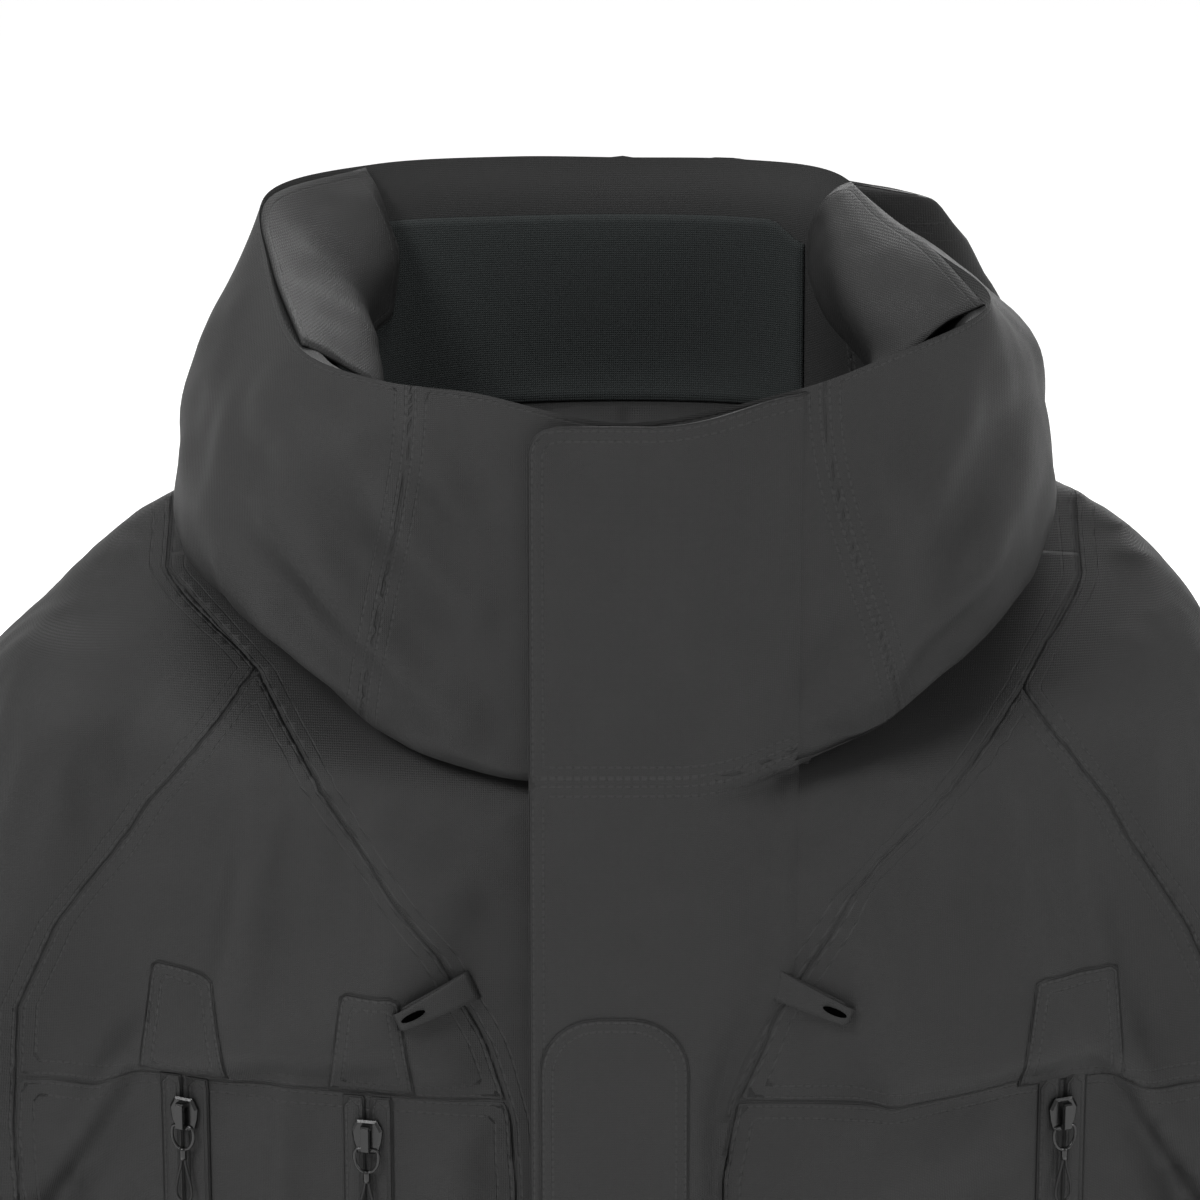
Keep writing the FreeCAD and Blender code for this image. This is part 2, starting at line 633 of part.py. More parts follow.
def hood_solid(name, inset, floor):
    return loft(name, [
        hood_ring(name + "_a", D.hood_top_half, D.hood_top_depth, D.hood_top_y, 1, inset),
        hood_ring(name + "_b", D.hood_mid_half, D.hood_mid_depth, D.hood_mid_y, D.hood_drop * 0.4, inset),
        hood_ring(name + "_c", D.hood_low_half, D.hood_low_depth, D.hood_low_y, D.hood_drop * 0.8, inset),
        hood_ring(name + "_d", D.hood_end_half, D.hood_end_depth, D.hood_end_y, D.hood_drop - floor, inset),
    ])


hood_shell = cut("hood_shell", hood_solid("hood_out", 0, 0), hood_solid("hood_in", D.wall, D.wall))
brim_zone = block("brim_zone", -FAR, FAR, D.hood_top_y, FAR, D.rim_back_z - D.brim_height, D.rim_back_z)
keep("hood_brim", common("hood_brim", hood_shell, brim_zone))
keep("hood", cut("hood", hood_shell, brim_zone))

# ribbon loop sewn in at both ends, with room for a peg behind it
middle_y = D.neck_back_y - D.wall - D.hanger_gap
ribbon = block("hanger_ribbon", -D.hanger_half_width, D.hanger_half_width, middle_y - D.hanger_thick, middle_y,
               D.hanger_z, D.hanger_z + D.hanger_height)
ends = []
for word, side in SIDES:
    ends.append(half_box(f"hanger_end_{word}", side, D.hanger_half_width - 5, D.hanger_half_width,
                         middle_y - 0.5, D.neck_back_y + 40, D.hanger_z, D.hanger_z + D.hanger_height))
hanger = common("hanger_inside", fuse("hanger_all", [ribbon] + ends), torso_inner)
keep("hang_loop", hanger)

# ----------------------------------------------------------------------------------------------------------------
# Zips. In a zip's own frame x runs across, y goes in through the panel from its face, z is up.
# ----------------------------------------------------------------------------------------------------------------
def body_plane(body, role):
    for feature in body.Origin.OriginFeatures:
        if feature.Role == role:
            return feature
    raise RuntimeError(role)


def new_sketch(body, role, name, points):
    sketch = body.newObject("Sketcher::SketchObject", name)
    sketch.AttachmentSupport = [(body_plane(body, role), "")]
    sketch.MapMode = "FlatFace"
    outline(sketch, points)
    return sketch


def pad(body, sketch, name, length, midplane=True):
    made = body.newObject("PartDesign::Pad", name)
    made.Profile = sketch
    made.SideType = "Symmetric" if midplane else "One side"
    return bind(made, Length=length)


def pocket(body, sketch, name, length):
    made = body.newObject("PartDesign::Pocket", name)
    made.Profile = sketch
    made.SideType = "Symmetric"
    return bind(made, Length=length)


def fillet(body, base, name, edges, radius):
    made = body.newObject("PartDesign::Fillet", name)
    made.Base = (base, edges)
    return bind(made, Radius=radius)


chain_mid = D.tape_set + D.tape_thick / 2
chain_face = chain_mid - D.chain_thick / 2
chain_back = chain_mid + D.chain_thick / 2
plate_face = chain_face - D.slider_clear - D.slider_plate
plate_back = chain_back + D.slider_clear + D.slider_plate


def tape(name, side, low, high):
    return half_box(name, side, D.chain_gap + D.chain_width * 0.5, D.chain_gap + D.tape_width,
                    D.tape_set, D.tape_set + D.tape_thick, low, high)


def teeth(name, side, low, high):
    return half_box(name, side, D.chain_gap, D.chain_gap + D.chain_width, chain_face, chain_back, low, high)


def slider(label, x, y, z, turn):
    """Two plates joined by a bridge, with a bail in front. Its origin is the middle of its top, on the face."""
    body = doc.addObject("PartDesign::Body", label + "_body")
    half = D.slider_half_width
    plate = [
        (-half, -D.slider_crown), (-half * 0.62, 0), (half * 0.62, 0), (half, -D.slider_crown),
        (D.slider_foot, -D.slider_height), (-D.slider_foot, -D.slider_height),
    ]
    block_sketch = new_sketch(body, "XZ_Plane", label + "_plates", plate)
    block_sketch.AttachmentOffset = Placement(Vector(0, 0, 0), Rotation())
    block_sketch.setExpression("AttachmentOffset.Base.z", (-(plate_face + plate_back) / 2).text)
    pad(body, block_sketch, label + "_block", plate_back - plate_face)
    doc.recompute()
    solid_volume = body.Shape.Volume
    for word, side in SIDES:
        outer = D.slider_half_width + 2
        channel = new_sketch(body, "XY_Plane", f"{label}_channel_{word}", [
            (side * D.bridge_half, plate_face + D.slider_plate), (side * outer, plate_face + D.slider_plate),
            (side * outer, plate_back - D.slider_plate), (side * D.bridge_half, plate_back - D.slider_plate),
        ])
        pocket(body, channel, f"{label}_way_{word}", D.slider_height * 3)
    doc.recompute()
    print(label, "block", round(solid_volume, 1), "with its channels", round(body.Shape.Volume, 1))
    front = plate_face - D.bail_rise
    low = -(D.bail_top + D.bail_height)
    bail = new_sketch(body, "YZ_Plane", label + "_bail_side", [
        (plate_face + 0.5, -D.bail_top), (front + 1, -D.bail_top), (front, -D.bail_top - 1), (front, low + 1),
        (front + 1, low), (plate_face + 0.5, low), (plate_face + 0.5, low + D.bail_bar),
        (front + D.bail_bar, low + D.bail_bar), (front + D.bail_bar, -D.bail_top - D.bail_bar),
        (plate_face + 0.5, -D.bail_top - D.bail_bar),
    ])
    pad(body, bail, label + "_bail", D.bail_half * 2)
    keep(label, body)
    place(body, x, y, z, (0, 0, 1), turn)
    return body


def puller(label, x, y, z, turn):
    """A ring through the bail, a clasp below it and a drop-shaped pull. Its origin is the hinge line."""
    body = doc.addObject("PartDesign::Body", label + "_body")
    half = D.ring_half_width
    bar = D.ring_bar
    top = bar / 2
    ring_low = top - D.ring_height
    neck = D.clasp_half_width
    clasp_low = ring_low - D.clasp_height
    drop = D.drop_half_width
    low = clasp_low - D.drop_height
    outer = new_sketch(body, "XZ_Plane", label + "_outer", [
        (-half, top), (half, top), (half, ring_low + 3), (neck, ring_low), (neck, clasp_low), (drop, low + 8),
        (drop, low + 3), (drop - 2.4, low), (-drop + 2.4, low), (-drop, low + 3), (-drop, low + 8), (-neck, clasp_low),
        (-neck, ring_low), (-half, ring_low + 3),
    ])
    pad(body, outer, label + "_blank", bar)
    window = new_sketch(body, "XZ_Plane", label + "_window", [
        (-half + bar, top - bar), (half - bar, top - bar), (half - bar, ring_low + 3.4), (neck - 0.4, ring_low + bar),
        (-neck + 0.4, ring_low + bar), (-half + bar, ring_low + 3.4),
    ])
    pocket(body, window, label + "_ring", bar * 3)
    eye = new_sketch(body, "XZ_Plane", label + "_eye", [
        (-0.6, clasp_low - 3), (0.6, clasp_low - 3), (drop - 1.3, low + 7), (drop - 1.3, low + 4), (0.8, low + 1.3),
        (-0.8, low + 1.3), (-drop + 1.3, low + 4), (-drop + 1.3, low + 7),
    ])
    pocket(body, eye, label + "_drop", bar * 3)
    keep(label, body)
    place(body, x, y, z, (0, 0, 1), turn)
    return body


def lay(thing, x, y, turn):
    """Carry a zip's piece from its own frame to its place on the front."""
    return place(thing, x, y, 0, (0, 0, 1), turn)


# main zip, along the straight front line
main_low = D.hem_z + D.zip_low_clear
main_top = D.rim_front_z - D.zip_top_clear


def zip_rows(name, x, y, turn, low, high, kind):
    """Both tapes or both rows of teeth, as one piece in its place."""
    both = fuse(name, [kind(f"{name}_{word}", side, low, high) for word, side in SIDES])
    return lay(both, x, y, turn)


def stops(name, low, high):
    """The stops that keep a slider on its teeth: one block across the end, two at the start."""
    wide = D.chain_gap + D.chain_width
    pieces = []
    for word, side in SIDES:
        pieces.append(half_box(f"{name}_end_{word}", side, -0.01, wide, chain_face - 0.3, chain_back + 0.3,
                               low, low + D.stop_height))
        pieces.append(half_box(f"{name}_start_{word}", side, D.chain_gap, wide, chain_face - 0.3, chain_back + 0.3,
                               high - D.stop_height, high))
    return pieces


def zipper(label, x, y, turn, low, high):
    """Tapes, teeth with their stops, slider and pull of one zip."""
    keep(f"{label}_tape", zip_rows(f"{label}_tape", x, y, turn, low, high, tape))
    rows = [teeth(f"{label}_teeth_{word}", side, low, high) for word, side in SIDES]
    rows = fuse(f"{label}_rows", rows + stops(f"{label}_stop", low, high))
    # the teeth and stops are clamped round the edges of the tapes
    edges = fuse(f"{label}_edges", [tape(f"{label}_edge_{word}", side, low, high) for word, side in SIDES])
    keep(f"{label}_teeth", lay(cut(f"{label}_teeth", rows, edges), x, y, turn))
    start = high - D.slider_start
    slider(f"{label}_slider", x, y, start, turn)
    # the hinge line runs through the ring's top bar, at the foot of the bail's window
    out = plate_face - (D.bail_rise - D.bail_bar) / 2
    hinge_z = start - D.bail_top - D.bail_height + D.bail_bar + D.ring_bar / 2 + D.slider_clear
    puller(f"{label}_pull", x - out * sine(turn), y + out * cosine(turn), hinge_z, turn)
    print(label, "hinge", [round(v.value, 3) for v in (x - out * sine(turn), y + out * cosine(turn), hinge_z)],
          "turn", round(turn.value, 3), "travel",
          round((start - D.slider_height - low - D.stop_height).value, 2))


zipper("main_zip", sized(0), D.front_y, sized(0), main_low, main_top)
for word, side, distance in CHEST_ZIPS:
    x, y, turn = chest_frame(side, distance)
    zipper(f"zip_{word}", x, y, turn, zip_top - D.chest_zip_length, zip_top)

# pocket bags behind the chest zips: shallow trays that close against the panel
bag_low = zip_top - D.chest_zip_length - 12
for word, side, inner in (("right", -1, D.zip_inner_x), ("left", 1, D.zip_outer_x)):
    x0 = inner - D.bag_margin
    x1 = D.zip_outer_x + D.bag_margin
    if word == "right":
        deep = cut("bag_block", torso_solid("bag_face", D.wall), torso_solid("bag_floor", D.bag_set + D.bag_thick))
        hollow = cut("bag_hollow", torso_solid("bag_mouth", D.wall - 1), torso_solid("bag_inside", D.bag_set))
        bag_deep, bag_hollow = deep, hollow
    tray = common(f"bag_tray_{word}", bag_deep,
                  half_box(f"bag_zone_{word}", side, x0, x1, -FAR, 0, bag_low, D.chest_seam_z))
    room = common(f"bag_room_{word}", bag_hollow,
                  half_box(f"bag_room_zone_{word}", side, x0 + D.bag_thick, x1 - D.bag_thick, -FAR, 0,
                           bag_low + D.bag_thick, D.chest_seam_z - 0.5))
    keep(f"pocket_bag_{word}", cut(f"pocket_bag_{word}", tray, room))

# ----------------------------------------------------------------------------------------------------------------
# Storm flap and what is on it
# ----------------------------------------------------------------------------------------------------------------
flap_face = D.front_y - D.flap_stand
flap_low = D.hem_z + D.flap_low_clear
flap_top = D.rim_front_z - D.flap_top_clear
flap = doc.addObject("PartDesign::Body", "storm_flap_body")
flap_sketch = new_sketch(flap, "XZ_Plane", "flap_outline", [
    (D.flap_free_x, flap_low), (D.flap_root_x, flap_low), (D.flap_root_x, flap_top), (D.flap_free_x, flap_top),
])
flap_sketch.setExpression("AttachmentOffset.Base.z", (-(flap_face - D.flap_thick / 2)).text)
flap_pad = pad(flap, flap_sketch, "flap_cloth", D.flap_thick)
doc.recompute()
corners = []
for i, edge in enumerate(flap_pad.Shape.Edges, start=1):
    ends = [v.Point for v in edge.Vertexes]
    if abs(ends[0].y - ends[1].y) > 1 and all(p.x < 0 for p in ends):
        corners.append(f"Edge{i}")
fillet(flap, flap_pad, "flap_corners", corners, D.flap_corner)
keep("storm_flap", flap)

tab = doc.addObject("PartDesign::Body", "chest_tab_body")
tab_sketch = new_sketch(tab, "XZ_Plane", "tab_outline", [
    (D.tab_x - D.tab_half_width, D.tab_top_z - D.tab_height), (D.tab_x + D.tab_half_width, D.tab_top_z - D.tab_height),
    (D.tab_x + D.tab_half_width, D.tab_top_z), (D.tab_x - D.tab_half_width, D.tab_top_z),
])
tab_sketch.setExpression("AttachmentOffset.Base.z", (-(flap_face - D.flap_thick - D.tab_thick / 2)).text)
tab_pad = pad(tab, tab_sketch, "tab_cloth", D.tab_thick)
doc.recompute()
corners = []
for i, edge in enumerate(tab_pad.Shape.Edges, start=1):
    ends = [v.Point for v in edge.Vertexes]
    if abs(ends[0].y - ends[1].y) > 1 and all(p.z > D.tab_top_z.value - 1 for p in ends):
        corners.append(f"Edge{i}")
fillet(tab, tab_pad, "tab_corners", corners, D.tab_corner)
keep("chest_tab", tab)

# hook patches on the flap, loop patches on the front, face to face
patches = {"hook": [], "loop": []}
count = 5
for i in range(count):
    top = flap_top - D.fastener_top - D.fastener_step * i
    x0 = D.flap_free_x + D.fastener_inset
    patches["hook"].append(block(f"hook_{i}", x0, x0 + D.fastener_width, flap_face, flap_face + D.fastener_thick,
                                 top - D.fastener_height, top))
    near = flap_face + D.fastener_thick + D.seat_gap
    patches["loop"].append(block(f"loop_patch_{i}", x0, x0 + D.fastener_width, near, D.front_y + 40,
                                 top - D.fastener_height, top))
keep("flap_hook_patches", fuse("flap_hook_patches", patches["hook"]))
outer_all = fuse("shell_outer", [torso_outer, cowl_outer])
inner_all = fuse("shell_inner", [torso_inner, cowl_inner])
keep("front_loop_patches", cut("front_loop_patches", fuse("loop_patches", patches["loop"]), outer_all))

# binding that holds the flap's root on the left front
binding = block("binding_block", D.flap_root_x + D.seat_gap, D.flap_root_x + D.binding_width, flap_face + 0.6,
                D.front_y + 40, flap_low, flap_top)
keep("flap_binding", cut("flap_binding", binding, outer_all))

# wind guard behind the zip, sewn along its left edge
guard_y = D.front_y + D.guard_set
guard = fuse("guard_all", [
    block("guard_sheet", -D.guard_half_width, D.guard_half_width, guard_y, guard_y + D.guard_thick, flap_low, flap_top),
    block("guard_edge", D.guard_half_width - D.guard_thick, D.guard_half_width, D.front_y - 2, guard_y + 0.5,
          flap_low, flap_top),
])
keep("wind_guard", cut("wind_guard", common("guard_inside", guard, inner_all), cowl_shell))

# ----------------------------------------------------------------------------------------------------------------
# Fabric loops beside the centre panel
# ----------------------------------------------------------------------------------------------------------------
for word, side in SIDES:
    deep = D.loop_thick * 2 + D.loop_open
    outer = block(f"fabric_loop_outer_{word}", 0, D.loop_length, 0, deep, -D.loop_width / 2, D.loop_width / 2)
    inner = block(f"fabric_loop_inner_{word}", D.loop_thick * 2, D.loop_length - D.loop_thick, D.loop_thick,
                  D.loop_thick + D.loop_open, -D.loop_width / 2 - 1, D.loop_width / 2 + 1)
    folded = cut(f"fabric_loop_folded_{word}", outer, inner)
    if side < 0:
        folded = mirrored("fabric_loop_turned", folded)
    holder = doc.addObject("Part::Compound", f"fabric_loop_at_{word}")
    holder.Links = [folded]
    place(holder, side * D.loop_x, D.front_y - 2, D.loop_z, (0, 1, 0), side * D.loop_turn)
    keep(f"fabric_loop_{word}", cut(f"fabric_loop_cut_{word}", holder, torso_outer))

# ----------------------------------------------------------------------------------------------------------------
# Check and write
# ----------------------------------------------------------------------------------------------------------------
doc.recompute()
failed = [thing.Name for thing in doc.Objects if {"Invalid", "Error"} & set(thing.State)]
if failed:
    raise RuntimeError(f"failed objects: {failed}")
for thing in nodes:
    shape = thing.Shape
    if shape.isNull() or not shape.isValid() or not shape.Solids or shape.Volume <= 0:
        raise RuntimeError(f"bad shape: {thing.Label}")
os.makedirs("parts", exist_ok=True)
for thing in nodes:
    thing.Shape.exportStep(f"parts/{thing.Label}.step")
print(len(nodes), "pieces written")
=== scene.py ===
"""Looks of a hooded hardshell jacket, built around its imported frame."""

import json
import math

import bmesh
import bpy
import numpy as np
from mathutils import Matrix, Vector, noise
from mathutils.bvhtree import BVHTree


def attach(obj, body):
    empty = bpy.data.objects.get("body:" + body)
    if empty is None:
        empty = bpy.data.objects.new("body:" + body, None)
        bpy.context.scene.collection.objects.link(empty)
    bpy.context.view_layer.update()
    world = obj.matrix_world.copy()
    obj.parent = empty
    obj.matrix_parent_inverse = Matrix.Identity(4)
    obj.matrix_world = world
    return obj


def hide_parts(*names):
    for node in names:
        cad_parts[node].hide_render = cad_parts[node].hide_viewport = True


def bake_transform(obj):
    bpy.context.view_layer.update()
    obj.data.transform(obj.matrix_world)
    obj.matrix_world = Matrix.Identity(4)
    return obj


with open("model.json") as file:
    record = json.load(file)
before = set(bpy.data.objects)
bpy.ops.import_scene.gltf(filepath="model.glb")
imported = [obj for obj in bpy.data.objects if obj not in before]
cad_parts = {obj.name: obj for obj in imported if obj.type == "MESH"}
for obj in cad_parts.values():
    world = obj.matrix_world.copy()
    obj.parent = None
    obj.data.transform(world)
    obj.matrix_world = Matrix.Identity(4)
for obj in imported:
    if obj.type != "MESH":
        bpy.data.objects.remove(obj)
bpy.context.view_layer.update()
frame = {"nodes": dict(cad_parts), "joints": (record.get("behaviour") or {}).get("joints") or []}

MM = 0.001
SIDES = (("right", -1), ("left", 1))
FRONT_Y, HEM_Z = -130.0, -740.0


# ---- Small helpers ----
def smooth(value, low, high):
    """0 below low, 1 above high, and an S-curve between them."""
    t = np.clip((value - low) / (high - low), 0, 1)
    return t * t * (3 - 2 * t)


def set_values(mesh, key, values):
    """Store one number for each point of a mesh."""
    mesh.attributes.new(key, "FLOAT", "POINT").data.foreach_set("value", np.asarray(values, np.float32))


def new_object(name, points, faces, material, attributes=None, shade=True):
    """A mesh object from points in millimetres."""
    mesh = bpy.data.meshes.new(name)
    mesh.from_pydata((np.asarray(points, float) * MM).tolist(), [], [list(map(int, f)) for f in faces])
    mesh.validate()
    obj = bpy.data.objects.new(name, mesh)
    bpy.context.scene.collection.objects.link(obj)
    if material:
        mesh.materials.append(material)
    for key, values in (attributes or {}).items():
        set_values(mesh, key, values)
    if shade:
        mesh.polygons.foreach_set("use_smooth", [True] * len(mesh.polygons))
    return obj


def apply_modifiers(obj):
    """Replace the mesh by what its modifiers make of it."""
    graph = bpy.context.evaluated_depsgraph_get()
    graph.update()
    made = bpy.data.meshes.new_from_object(obj.evaluated_get(graph), preserve_all_data_layers=True,
                                           depsgraph=graph)
    old = obj.data
    obj.modifiers.clear()
    obj.data = made
    bpy.data.meshes.remove(old)
    return obj


def thicken(obj, thickness, offset=-1.0):
    made = obj.modifiers.new("thickness", "SOLIDIFY")
    made.thickness = thickness * MM
    made.offset = offset
    made.use_even_offset = False
    made.use_rim = True
    return apply_modifiers(obj)


def grid_faces(rows, columns, closed=False):
    faces = []
    for i in range(rows - 1):
        for j in range(columns if closed else columns - 1):
            k = (j + 1) % columns
            faces.append((i * columns + j, i * columns + k, (i + 1) * columns + k, (i + 1) * columns + j))
    return faces


def catmull(rows, steps, closed=False):
    """A smooth line through rows of points, along the first axis."""
    rows = np.asarray(rows, float)
    n = len(rows)
    out = []
    for i in range(n if closed else n - 1):
        if closed:
            a, b, c, d = (rows[(i + k) % n] for k in (-1, 0, 1, 2))
        else:
            b, c = rows[i], rows[i + 1]
            a = rows[i - 1] if i > 0 else 2 * b - c
            d = rows[i + 2] if i + 2 < n else 2 * c - b
        for s in range(steps):
            t = s / steps
            out.append(0.5 * ((2 * b) + (c - a) * t + (2 * a - 5 * b + 4 * c - d) * t * t
                              + (3 * b - a - 3 * c + d) * t ** 3))
    if not closed:
        out.append(rows[-1])
    return np.array(out)


def ripple(points, scale, seed, octaves=2):
    """Smooth noise from -1 to 1 at points in millimetres."""
    return np.array([noise.fractal(Vector((p[0] / scale + seed, p[1] / scale - seed, p[2] / scale)), 1.0, 2.0,
                                   octaves, noise_basis="PERLIN_ORIGINAL") for p in points])


def tube(name, path, radius, material, segments=8, closed=False):
    """A round bar along a path of points in millimetres."""
    path = np.asarray(path, float)
    n = len(path)
    points, faces = [], []
    normal = None
    for i in range(n):
        a = path[(i - 1) % n] if closed or i > 0 else path[0]
        b = path[(i + 1) % n] if closed or i < n - 1 else path[-1]
        along = (b - a) / max(np.linalg.norm(b - a), 1e-9)
        if normal is None:
            normal = np.cross(along, (0.31, 0.17, 0.93))
        normal = normal - along * np.dot(normal, along)
        normal /= np.linalg.norm(normal)
        other = np.cross(along, normal)
        for k in range(segments):
            angle = 2 * math.pi * k / segments
            points.append(path[i] + radius * (math.cos(angle) * normal + math.sin(angle) * other))
    for i in range(n if closed else n - 1):
        j = (i + 1) % n
        for k in range(segments):
            m = (k + 1) % segments
            faces.append((i * segments + k, i * segments + m, j * segments + m, j * segments + k))
    if not closed:
        faces.append(tuple(range(segments))[::-1])
        faces.append(tuple((n - 1) * segments + k for k in range(segments)))
    return new_object(name, points, faces, material)


def ray_tree(points, faces):
    """A tree for casting rays at faces whose points are in millimetres."""
    return BVHTree.FromPolygons([Vector(p) for p in points], faces)


def faces_outward(obj):
    """Turn the faces of each closed part outwards."""
    work = bmesh.new()
    work.from_mesh(obj.data)
    bmesh.ops.recalc_face_normals(work, faces=work.faces)
    work.to_mesh(obj.data)
    work.free()


def join(name, objects):
    """One object out of several."""
    bpy.ops.object.select_all(action="DESELECT")
    for obj in objects:
        obj.select_set(True)
    bpy.context.view_layer.objects.active = objects[0]
    bpy.ops.object.join()
    objects[0].name = name
    return objects[0]


def turn_points(points, x, y, z, degrees):
    """Points from a piece's own frame to its place, turned about a vertical line."""
    points = np.asarray(points, float)
    c, s = math.cos(math.radians(degrees)), math.sin(math.radians(degrees))
    out = points.copy()
    out[:, 0] = x + points[:, 0] * c - points[:, 1] * s
    out[:, 1] = y + points[:, 0] * s + points[:, 1] * c
    out[:, 2] = z + points[:, 2]
    return out


# ---- Materials ----
class Nodes:
    """Short names for building a node tree."""

    def __init__(self, name):
        self.material = bpy.data.materials.new(name)
        self.material.use_nodes = True
        self.tree = self.material.node_tree
        self.tree.nodes.clear()
        self.out = self.tree.nodes.new("ShaderNodeOutputMaterial")
        self.shader = self.tree.nodes.new("ShaderNodeBsdfPrincipled")
        self.tree.links.new(self.shader.outputs[0], self.out.inputs[0])

    def put(self, socket, value):
        if hasattr(value, "is_output"):
            self.tree.links.new(value, socket)
        else:
            socket.default_value = value

    def math(self, operation, *values):
        node = self.tree.nodes.new("ShaderNodeMath")
        node.operation = operation
        for socket, value in zip(node.inputs, values):
            self.put(socket, value)
        return node.outputs[0]

    def attribute(self, name):
        node = self.tree.nodes.new("ShaderNodeAttribute")
        node.attribute_name = name
        return node.outputs["Fac"]

    def coordinates(self):
        return self.tree.nodes.new("ShaderNodeTexCoord").outputs["Object"]

    def noise(self, scale, detail=2.0, roughness=0.5):
        node = self.tree.nodes.new("ShaderNodeTexNoise")
        self.put(node.inputs["Vector"], self.coordinates())
        node.inputs["Scale"].default_value = scale
        node.inputs["Detail"].default_value = detail
        node.inputs["Roughness"].default_value = roughness
        return node.outputs["Fac"]

    def wave(self, scale, direction, distortion=0.0):
        node = self.tree.nodes.new("ShaderNodeTexWave")
        node.bands_direction = direction
        self.put(node.inputs["Vector"], self.coordinates())
        node.inputs["Scale"].default_value = scale
        node.inputs["Distortion"].default_value = distortion
        return node.outputs["Fac"]

    def mix(self, share, a, b):
        node = self.tree.nodes.new("ShaderNodeMix")
        node.data_type = "RGBA"
        self.put(node.inputs[0], share)
        self.put(node.inputs[6], a)
        self.put(node.inputs[7], b)
        return node.outputs[2]

    def bump(self, height, strength, distance, below=None):
        node = self.tree.nodes.new("ShaderNodeBump")
        node.inputs["Strength"].default_value = strength
        node.inputs["Distance"].default_value = distance
        self.put(node.inputs["Height"], height)
        if below is not None:
            self.put(node.inputs["Normal"], below)
        return node.outputs[0]

    def band(self, value, middle, half):
        """1 where value is within half of middle, with soft edges."""
        away = self.math("ABSOLUTE", self.math("SUBTRACT", value, middle))
        node = self.tree.nodes.new("ShaderNodeMapRange")
        node.interpolation_type = "SMOOTHSTEP"
        self.put(node.inputs[0], away)
        node.inputs[1].default_value = half * 0.55
        node.inputs[2].default_value = half
        node.inputs[3].default_value = 1.0
        node.inputs[4].default_value = 0.0
        return node.outputs[0]


def grey(value, tint=(1.0, 1.0, 1.0)):
    return (value * tint[0], value * tint[1], value * tint[2], 1.0)


def scaled(colour, factor):
    return tuple(c * factor for c in colour[:3]) + (1.0,)


def fabric(name, colour, spread, rough, seams=True, rows=(2.2, 7.4)):
    """Woven face fabric. seam is the distance to the nearest seam, run the length along it, both in mm."""
    n = Nodes(name)
    fine = n.noise(1500, 3.0, 0.6)
    broad = n.noise(28, 3.0, 0.55)
    weave = n.math("MULTIPLY", n.wave(420, "X", 0.6), n.wave(420, "Z", 0.6))
    share = n.math("ADD", n.math("MULTIPLY", fine, 0.5), n.math("MULTIPLY", broad, 0.5))
    base = n.mix(share, scaled(colour, 1 - spread), scaled(colour, 1 + spread))
    height = n.math("ADD", n.math("MULTIPLY", fine, 0.6), n.math("MULTIPLY", weave, 0.5))
    normal = n.bump(height, 0.5, 0.0007)
    if seams:
        seam, run = n.attribute("seam"), n.attribute("run")
        dash = n.math("LESS_THAN", n.math("FRACT", n.math("DIVIDE", run, 3.4)), 0.68)
        stitch = n.band(seam, rows[0], 0.55)
        for row in rows[1:]:
            stitch = n.math("MAXIMUM", stitch, n.band(seam, row, 0.55))
        thread = n.math("MULTIPLY", stitch, dash)
        # painted shade: the seam ditch and the sunken stitch rows are darkened towards near-black, as if shade
        # fell in their grooves
        ditch = n.band(seam, 0.0, 0.9)
        shade = n.math("ADD", n.math("MULTIPLY", stitch, 0.18), n.math("MULTIPLY", ditch, 0.4))
        base = n.mix(shade, base, grey(0.002))
        base = n.mix(n.math("MULTIPLY", thread, 0.4), base, grey(0.026))
        relief = n.math("SUBTRACT", n.math("MULTIPLY", thread, 0.5),
                        n.math("ADD", n.math("MULTIPLY", stitch, 0.75), n.math("MULTIPLY", ditch, 1.0)))
        normal = n.bump(relief, 0.85, 0.0009, normal)
    n.put(n.shader.inputs["Base Color"], base)
    n.put(n.shader.inputs["Normal"], normal)
    n.shader.inputs["Roughness"].default_value = rough
    n.shader.inputs["Specular IOR Level"].default_value = 0.24
    return n.material


def plain(name, colour, rough, coat=0.0, grain=1.0, spec=0.4):
    """Moulded or lacquered stuff with a faint grain."""
    n = Nodes(name)
    speck = n.noise(700 * grain, 3.0, 0.6)
    n.put(n.shader.inputs["Base Color"], n.mix(speck, scaled(colour, 0.82), scaled(colour, 1.2)))
    n.put(n.shader.inputs["Normal"], n.bump(speck, 0.12, 0.0003))
    wear = n.math("ADD", rough - 0.05, n.math("MULTIPLY", n.noise(160), 0.1))
    n.put(n.shader.inputs["Roughness"], wear)
    n.shader.inputs["Coat Weight"].default_value = coat
    n.shader.inputs["Specular IOR Level"].default_value = spec
    n.shader.inputs["Coat Roughness"].default_value = 0.12
    return n.material


def knit(name, colour):
    """Brushed knit with fine ribs."""
    n = Nodes(name)
    ribs = n.wave(330, "X", 1.2)
    courses = n.wave(330, "Z", 1.2)
    loops = n.math("MULTIPLY", ribs, courses)
    fuzz = n.noise(1900, 3.0, 0.7)
    share = n.math("ADD", n.math("MULTIPLY", loops, 0.6), n.math("MULTIPLY", fuzz, 0.4))
    n.put(n.shader.inputs["Base Color"], n.mix(share, scaled(colour, 0.62), scaled(colour, 1.35)))
    n.put(n.shader.inputs["Normal"], n.bump(share, 0.7, 0.0009))
    n.shader.inputs["Roughness"].default_value = 0.85
    n.shader.inputs["Sheen Weight"].default_value = 0.02
    n.shader.inputs["Specular IOR Level"].default_value = 0.25
    return n.material


